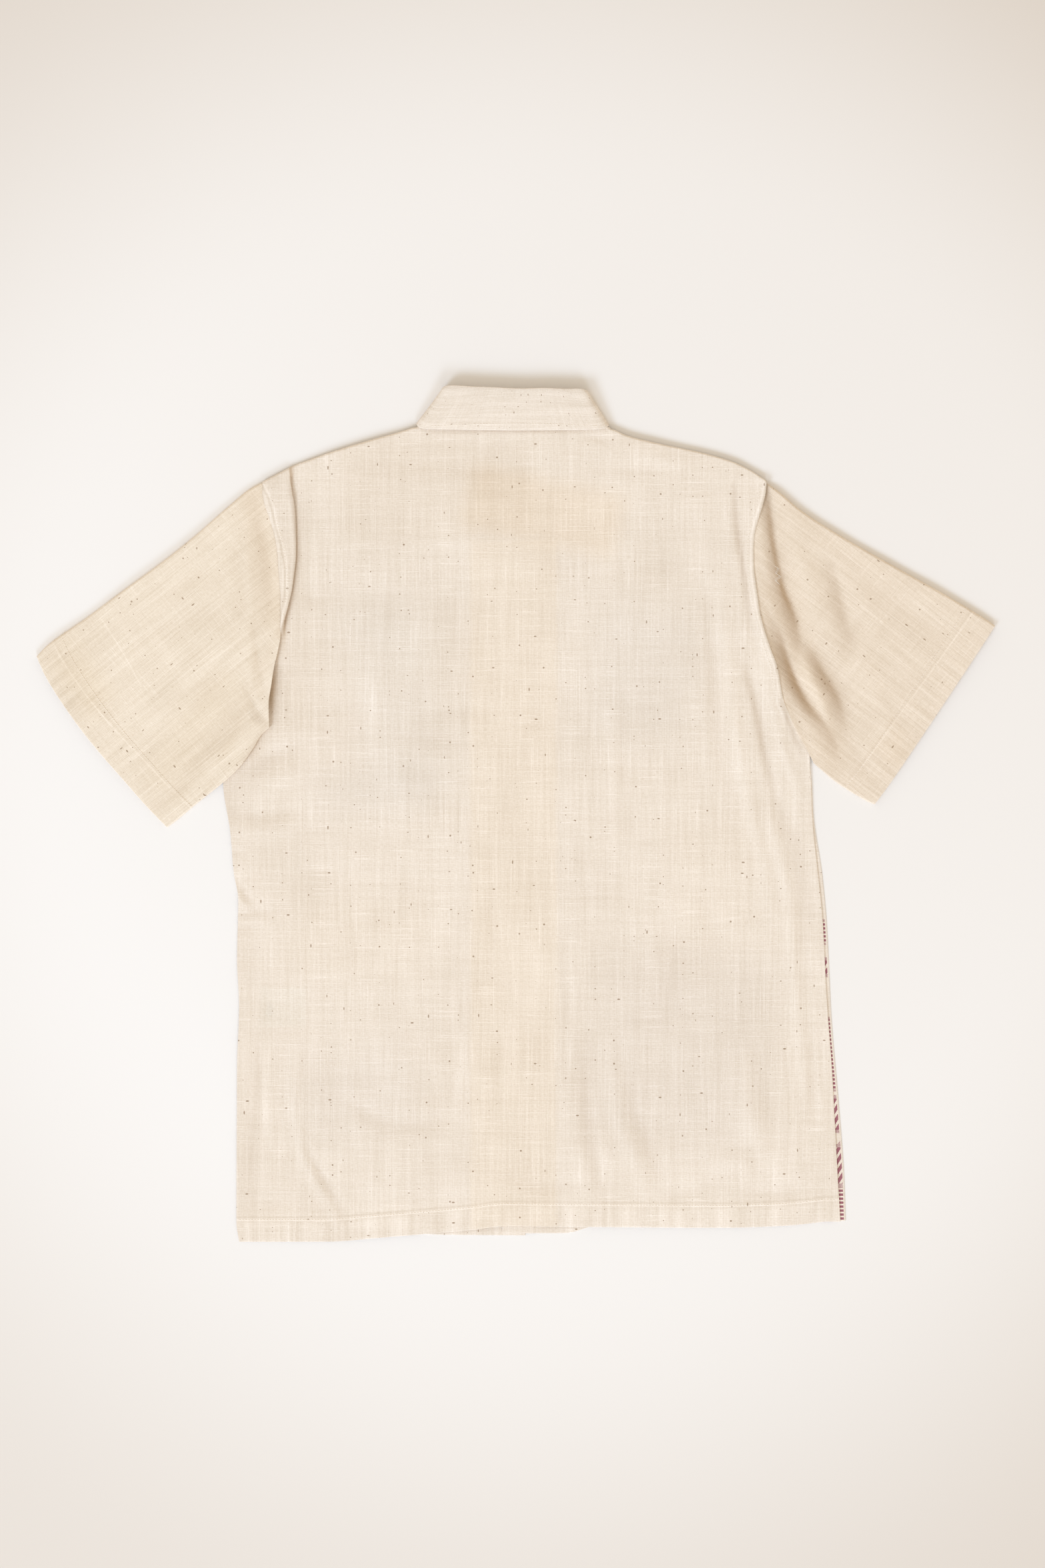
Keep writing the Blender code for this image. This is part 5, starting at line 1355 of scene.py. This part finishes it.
def stitchRows(name, lines, pitch=1.0):
    # one plain mesh of stitches along several lines of points, in metres
    points, edges = [], []
    for line in lines:
        first = len(points)
        points += [(x, y, max(z, threadLook["lowest"])) for x, y, z in line]
        edges += [(first + k, first + k + 1) for k in range(len(line) - 1)]
    mesh = bpy.data.meshes.new(name + "_lines")
    mesh.from_pydata(points, edges, [])
    guide = bpy.data.objects.new(name + "_lines", mesh)
    bpy.context.collection.objects.link(guide)
    modifier = guide.modifiers.new("stitches", "NODES")
    modifier.node_group = stitches
    values = {
        "Pitch": threadLook["pitch"] * pitch, "Length": threadLook["length"] * pitch,
        "Radius": threadLook["radius"], "Thread": thread,
    }
    for item in stitches.interface.items_tree:
        if item.in_out == "INPUT" and item.name in values:
            modifier[item.identifier] = values[item.name]
    made = bpy.data.meshes.new_from_object(guide.evaluated_get(bpy.context.evaluated_depsgraph_get()))
    made.name = name
    bpy.data.objects.remove(guide, do_unlink=True)
    piece = bpy.data.objects.new(name, made)
    bpy.context.collection.objects.link(piece)
    made.shade_smooth()
    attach(piece, "root")
    return piece


def dropOn(target, points, fromBelow=False):
    # points in millimetres, laid on the cloth seen from above or below
    tree = BVHTree.FromObject(target, bpy.context.evaluated_depsgraph_get())
    way = Vector((0, 0, 1 if fromBelow else -1))
    away = -way * rowForm["rayFrom"] * mm
    out = []
    for x, y in points:
        start = Vector((x * mm + centreShift[0], y * mm + centreShift[1], 0)) + away
        hit = tree.ray_cast(start, way)[0]
        if hit is not None:
            out.append(hit - way * threadLook["radius"] * threadLook["sunkBelow" if fromBelow else "sunk"])
    return out


def acrossPanel(grid, distance):
    # the line at that distance from a panel's hem
    line = []
    for column in grid:
        fromHem = (column[:, 1] - column[0, 1]) / mm
        line.append([np.interp(distance, fromHem, column[:, axis]) for axis in (0, 1)])
    return np.array(line) / mm


def roundTube(grid, distance):
    # the ring at that distance from a sleeve's cuff, just outside its wall
    normals = surfaceNormals(grid, True)
    if normals[len(normals) // 4, -1, 2] < 0:
        normals = -normals
    ring = []
    for column, normal in zip(grid, normals):
        run = np.linalg.norm(column - column[-1], axis=-1)[::-1] / mm
        at = np.stack([np.interp(distance, run, column[::-1, axis]) for axis in range(3)])
        out = np.stack([np.interp(distance, run, normal[::-1, axis]) for axis in range(3)])
        outside = sleeveForm["cuff"] / 2 * mm + threadLook["radius"] * threadLook["sunk"]
        ring.append(at + out * outside + centreShift)
    return ring + ring[:1]


def hemRow(target, grid, form, ends, fromBelow=False):
    row = acrossPanel(grid, form["hemDepth"])[slice(*threadLook[ends])]
    return dropOn(target, row, fromBelow)


def placketRow(target, fromEdge, top):
    heights = np.linspace(rowForm["placketFrom"], rowForm[top], rowForm["placketPoints"])
    return dropOn(target, [(fromEdge, y) for y in heights], True)


def loosePly(number):
    right, up = (number * step for step in looseThread["apart"])
    route = [(x + right, y + up) for x, y in looseThread["route"]]
    return dropOn(sleeveRight, smoothLine(route, looseThread["points"]))


def buttonholeRow(number, side):
    middle = buttons["firstY"] - buttons["pitch"] * number
    x = buttons["x"] + side * rowForm["buttonholeHalf"]
    low, high = middle - rowForm["buttonhole"], middle + rowForm["buttonhole"]
    return dropOn(frontLeft, [(x, y) for y in np.linspace(low, high, rowForm["buttonholePoints"])], True)


print("stitches")
stitches = stitchTree()
thread = threadMaterial()
backStitches = stitchRows(
    "back_stitches",
    [
        hemRow(back, backSurface, backForm, "backEnds"), dropOn(back, leftTopstitch[1:-1]),
        dropOn(back, [(x - rowForm["besideArmhole"], y) for up, x, y in rightArmhole[1:-1]]),
    ],
)
cuffLeftStitches = stitchRows(
    "cuff_left_stitches", [roundTube(sleeveLeftSurface, sleeveForm["cuffDepth"])])
rightCuffDepth = sleeveForm["cuffDepth"] + sleeveForm["rightCuffMore"]
cuffRightStitches = stitchRows(
    "cuff_right_stitches", [roundTube(sleeveRightSurface, rightCuffDepth)])
knot = stitchRows(
    "loose_thread", [loosePly(number) for number in (-1, 0, 1)], threadLook["loosePitch"])
leftFrontStitches = stitchRows(
    "front_left_stitches",
    [
        hemRow(frontLeft, frontLeftSurface, frontForm, "leftEnds", True),
        placketRow(frontLeft, placket["right"] - rowForm["placketEdge"], "edgeTo"),
        placketRow(frontLeft, placket["right"] - rowForm["placketInner"], "innerTo"),
    ],
)
rightFrontStitches = stitchRows(
    "front_right_stitches",
    [
        hemRow(frontRight, frontRightSurface, frontForm, "rightEnds", True),
        placketRow(frontRight, placket["left"] + rowForm["placketInner"], "innerTo"),
    ],
)
alongCollar = np.linspace(rowForm["collarFrom"], rowForm["collarTo"], rowForm["collarPoints"])
collarRow = [(x, rowForm["collarMiddle"] - rowForm["collarBow"] * x * x) for x in alongCollar]
collarStitches = stitchRows("collar_stitches", [dropOn(collar, collarRow)])
holeRows = [buttonholeRow(number, side) for number in range(buttons["count"]) for side in (-1, 1)]
buttonholes = stitchRows("buttonhole_stitches", holeRows, threadLook["buttonholePitch"])


# Buttons: profile of half a section from the face on the floor up, in millimetres, then its four holes
buttonForm = {
    "profile": (
        (0, 0.50), (2.7, 0.50), (3.3, 0.32), (3.8, 0.06), (4.4, 0), (5.0, 0.20), (5.4, 0.62), (5.5, 1.0),
        (5.38, 1.42), (5.0, 1.80), (4.4, 1.98), (0, 2.0),
    ),
    "sides": 48, "holes": 4, "holeRing": 1.25, "hole": 0.62, "holeSides": 20, "pinLength": 6,
    "pinMiddle": 1, "clearance": 0.05, "threadLow": 0.2, "threadHigh": 2.1, "sharpFrom": 40,
    "dark": (0.70, 0.60, 0.45, 1), "pale": (0.86, 0.79, 0.66, 1), "bands": 190.0, "wavy": 1.6,
}


def buttonShape():
    work = bmesh.new()
    points = [work.verts.new((radius * mm, 0, level * mm)) for radius, level in buttonForm["profile"]]
    edges = [work.edges.new(pair) for pair in zip(points, points[1:])]
    bmesh.ops.spin(
        work, geom=points + edges, cent=(0, 0, 0), axis=(0, 0, 1), angle=math.tau,
        steps=buttonForm["sides"], use_merge=True, use_duplicate=False,
    )
    bmesh.ops.remove_doubles(work, verts=work.verts, dist=1e-6)
    bmesh.ops.recalc_face_normals(work, faces=work.faces)
    disc = bpy.data.meshes.new("button_disc")
    work.to_mesh(disc)
    work.free()
    work = bmesh.new()
    radius = buttonForm["hole"] * mm
    for k in range(buttonForm["holes"]):
        turn = math.tau * (k + 0.5) / buttonForm["holes"]
        x, y = (buttonForm["holeRing"] * mm * part for part in (math.cos(turn), math.sin(turn)))
        bmesh.ops.create_cone(
            work, cap_ends=True, segments=buttonForm["holeSides"], radius1=radius, radius2=radius,
            depth=buttonForm["pinLength"] * mm,
            matrix=Matrix.Translation((x, y, buttonForm["pinMiddle"] * mm)),
        )
    pins = bpy.data.meshes.new("button_pins")
    work.to_mesh(pins)
    work.free()
    shapes = [bpy.data.objects.new(mesh.name, mesh) for mesh in (disc, pins)]
    for shape in shapes:
        bpy.context.collection.objects.link(shape)
    cut = shapes[0].modifiers.new("holes", "BOOLEAN")
    cut.operation = "DIFFERENCE"
    cut.object = shapes[1]
    cut.solver = "EXACT"
    made = bpy.data.meshes.new_from_object(shapes[0].evaluated_get(bpy.context.evaluated_depsgraph_get()))
    for shape in shapes:
        bpy.data.objects.remove(shape, do_unlink=True)
    return made


def shellMaterial():
    material, tree, shader = newMaterial("button_shell", {"Roughness": 0.28, "Coat Weight": 0.3})
    place = addNode(tree, "ShaderNodeTexCoord").outputs["Object"]
    values = {
        "Vector": place, "Scale": buttonForm["bands"], "Detail": 3.0, "Distortion": buttonForm["wavy"],
    }
    bands = addNode(tree, "ShaderNodeTexNoise", values).outputs["Fac"]
    tree.links.new(mixed(tree, bands, buttonForm["dark"], buttonForm["pale"]), shader.inputs["Base Color"])
    return material


print("buttons")
buttonMesh = buttonShape()
buttonMesh.set_sharp_from_angle(angle=math.radians(buttonForm["sharpFrom"]))
shell = shellMaterial()
ring = buttonForm["holeRing"] * mm * math.sqrt(0.5)
low, high = buttonForm["threadLow"] * mm, buttonForm["threadHigh"] * mm
buttonThreads = []
for number in range(buttons["count"]):
    height = buttons["firstY"] - buttons["pitch"] * number
    middle = Vector((buttons["x"] * mm, height * mm, buttonForm["clearance"] * mm)) + Vector(centreShift)
    mesh = buttonMesh.copy()
    mesh.transform(Matrix.Translation(middle))
    mesh.materials.clear()
    mesh.materials.append(shell)
    name = f"button_{number + 1}"
    piece = bpy.data.objects.new(name + "_sewn", mesh)
    bpy.context.collection.objects.link(piece)
    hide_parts(name)
    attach(piece, "root")
    for side in (-1, 1):
        legs = ((-ring, high), (-ring, low), (ring, low), (ring, high))
        buttonThreads.append([middle + Vector((x, side * ring, z)) for x, z in legs])
stitchRows("button_threads", buttonThreads, threadLook["buttonPitch"])


# Stage

stageLook = {
    "floor": (0.930, 0.899, 0.866), "floorSize": 6.0, "floorLevel": -0.0002,
    # painted light: the floor darker towards +X and +Y, away from the keys, with a painted vignette darker
    # away from the middle; tint makes the darker floor warmer
    "paintedFalloffX": -0.085, "paintedFalloffY": -0.075, "tint": (0.8, 1.05, 1.35),
    "paintedVignette": 0.23, "middle": (0.06, 0.10, 0.0), "fadeFrom": 0.46, "fadeTo": 0.98,
    "fill": (0.77, 0.70, 0.60), "keyAngle": 20.0, "keyColour": (0.60, 0.76, 1.0),
    "keys": (((-0.66, -0.76, 0.66), 1.45), ((0.16, -0.98, 0.64), 0.85)),   # towards each one, its strength
    "camera": (0.00622, 0.02837, 3.4475), "lens": 85, "sensor": 36,   # straight above, as in the photograph
}
print("stage")
bpy.ops.mesh.primitive_plane_add(size=stageLook["floorSize"], location=(0, 0, stageLook["floorLevel"]))
floor = bpy.context.object
floor.name = "floor"
paper, paperTree, paperShader = newMaterial("paper", {"Roughness": 0.95})
place = addNode(paperTree, "ShaderNodeTexCoord").outputs["Object"]
placeX, placeY = addNode(paperTree, "ShaderNodeSeparateXYZ", {0: place}).outputs[:2]
away = addNode(
    paperTree, "ShaderNodeVectorMath", {0: place, 1: stageLook["middle"]}, operation="DISTANCE",
).outputs["Value"]
away = addNode(
    paperTree, "ShaderNodeMapRange", {0: away, 1: stageLook["fadeFrom"], 2: stageLook["fadeTo"]},
    interpolation_type="SMOOTHSTEP",
).outputs[0]
# painted light falling off across the floor, then a painted vignette
tone = maths(paperTree, "MULTIPLY_ADD", placeX, stageLook["paintedFalloffX"], 1.0)
tone = maths(paperTree, "MULTIPLY_ADD", placeY, stageLook["paintedFalloffY"], tone)
tone = maths(paperTree, "MULTIPLY_ADD", away, -stageLook["paintedVignette"], tone)
tones = addNode(paperTree, "ShaderNodeCombineXYZ", {0: tone, 1: tone, 2: tone}).outputs[0]
tones = vectorMaths(paperTree, "POWER", tones, stageLook["tint"])
tones = vectorMaths(paperTree, "MULTIPLY", tones, stageLook["floor"])
paperTree.links.new(tones, paperShader.inputs["Base Color"])
floor.data.materials.append(paper)

world = bpy.data.worlds.new("room")
bpy.context.scene.world = world
world.use_nodes = True
world.node_tree.nodes["Background"].inputs[0].default_value = (*stageLook["fill"], 1)
world.node_tree.nodes["Background"].inputs[1].default_value = 1.0
for number, (towards, strength) in enumerate(stageLook["keys"], start=1):
    keyData = bpy.data.lights.new(f"key_{number}", "SUN")
    keyData.energy = strength
    keyData.color = stageLook["keyColour"]
    keyData.angle = math.radians(stageLook["keyAngle"])
    key = bpy.data.objects.new(f"key_{number}", keyData)
    key.rotation_mode = "QUATERNION"
    key.rotation_quaternion = Vector(towards).to_track_quat("Z", "Y")
    bpy.context.collection.objects.link(key)

cameraData = bpy.data.cameras.new("camera")
cameraData.lens = stageLook["lens"]
cameraData.sensor_width = stageLook["sensor"]
camera = bpy.data.objects.new("camera", cameraData)
camera.location = stageLook["camera"]
bpy.context.collection.objects.link(camera)
bpy.context.scene.camera = camera
bpy.context.scene.view_settings.view_transform = "Standard"
bpy.context.scene.view_settings.look = "None"

# What each piece stands for
for piece, node, slot in (
    (back, "back", "body_cloth"), (frontLeft, "front_left", "body_cloth"),
    (frontRight, "front_right", "body_cloth"), (sleeveLeft, "sleeve_left", "sleeve_cloth"),
    (sleeveRight, "sleeve_right", "sleeve_cloth"), (collar, "collar", "collar_cloth"),
):
    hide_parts(node)
    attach(piece, "root")
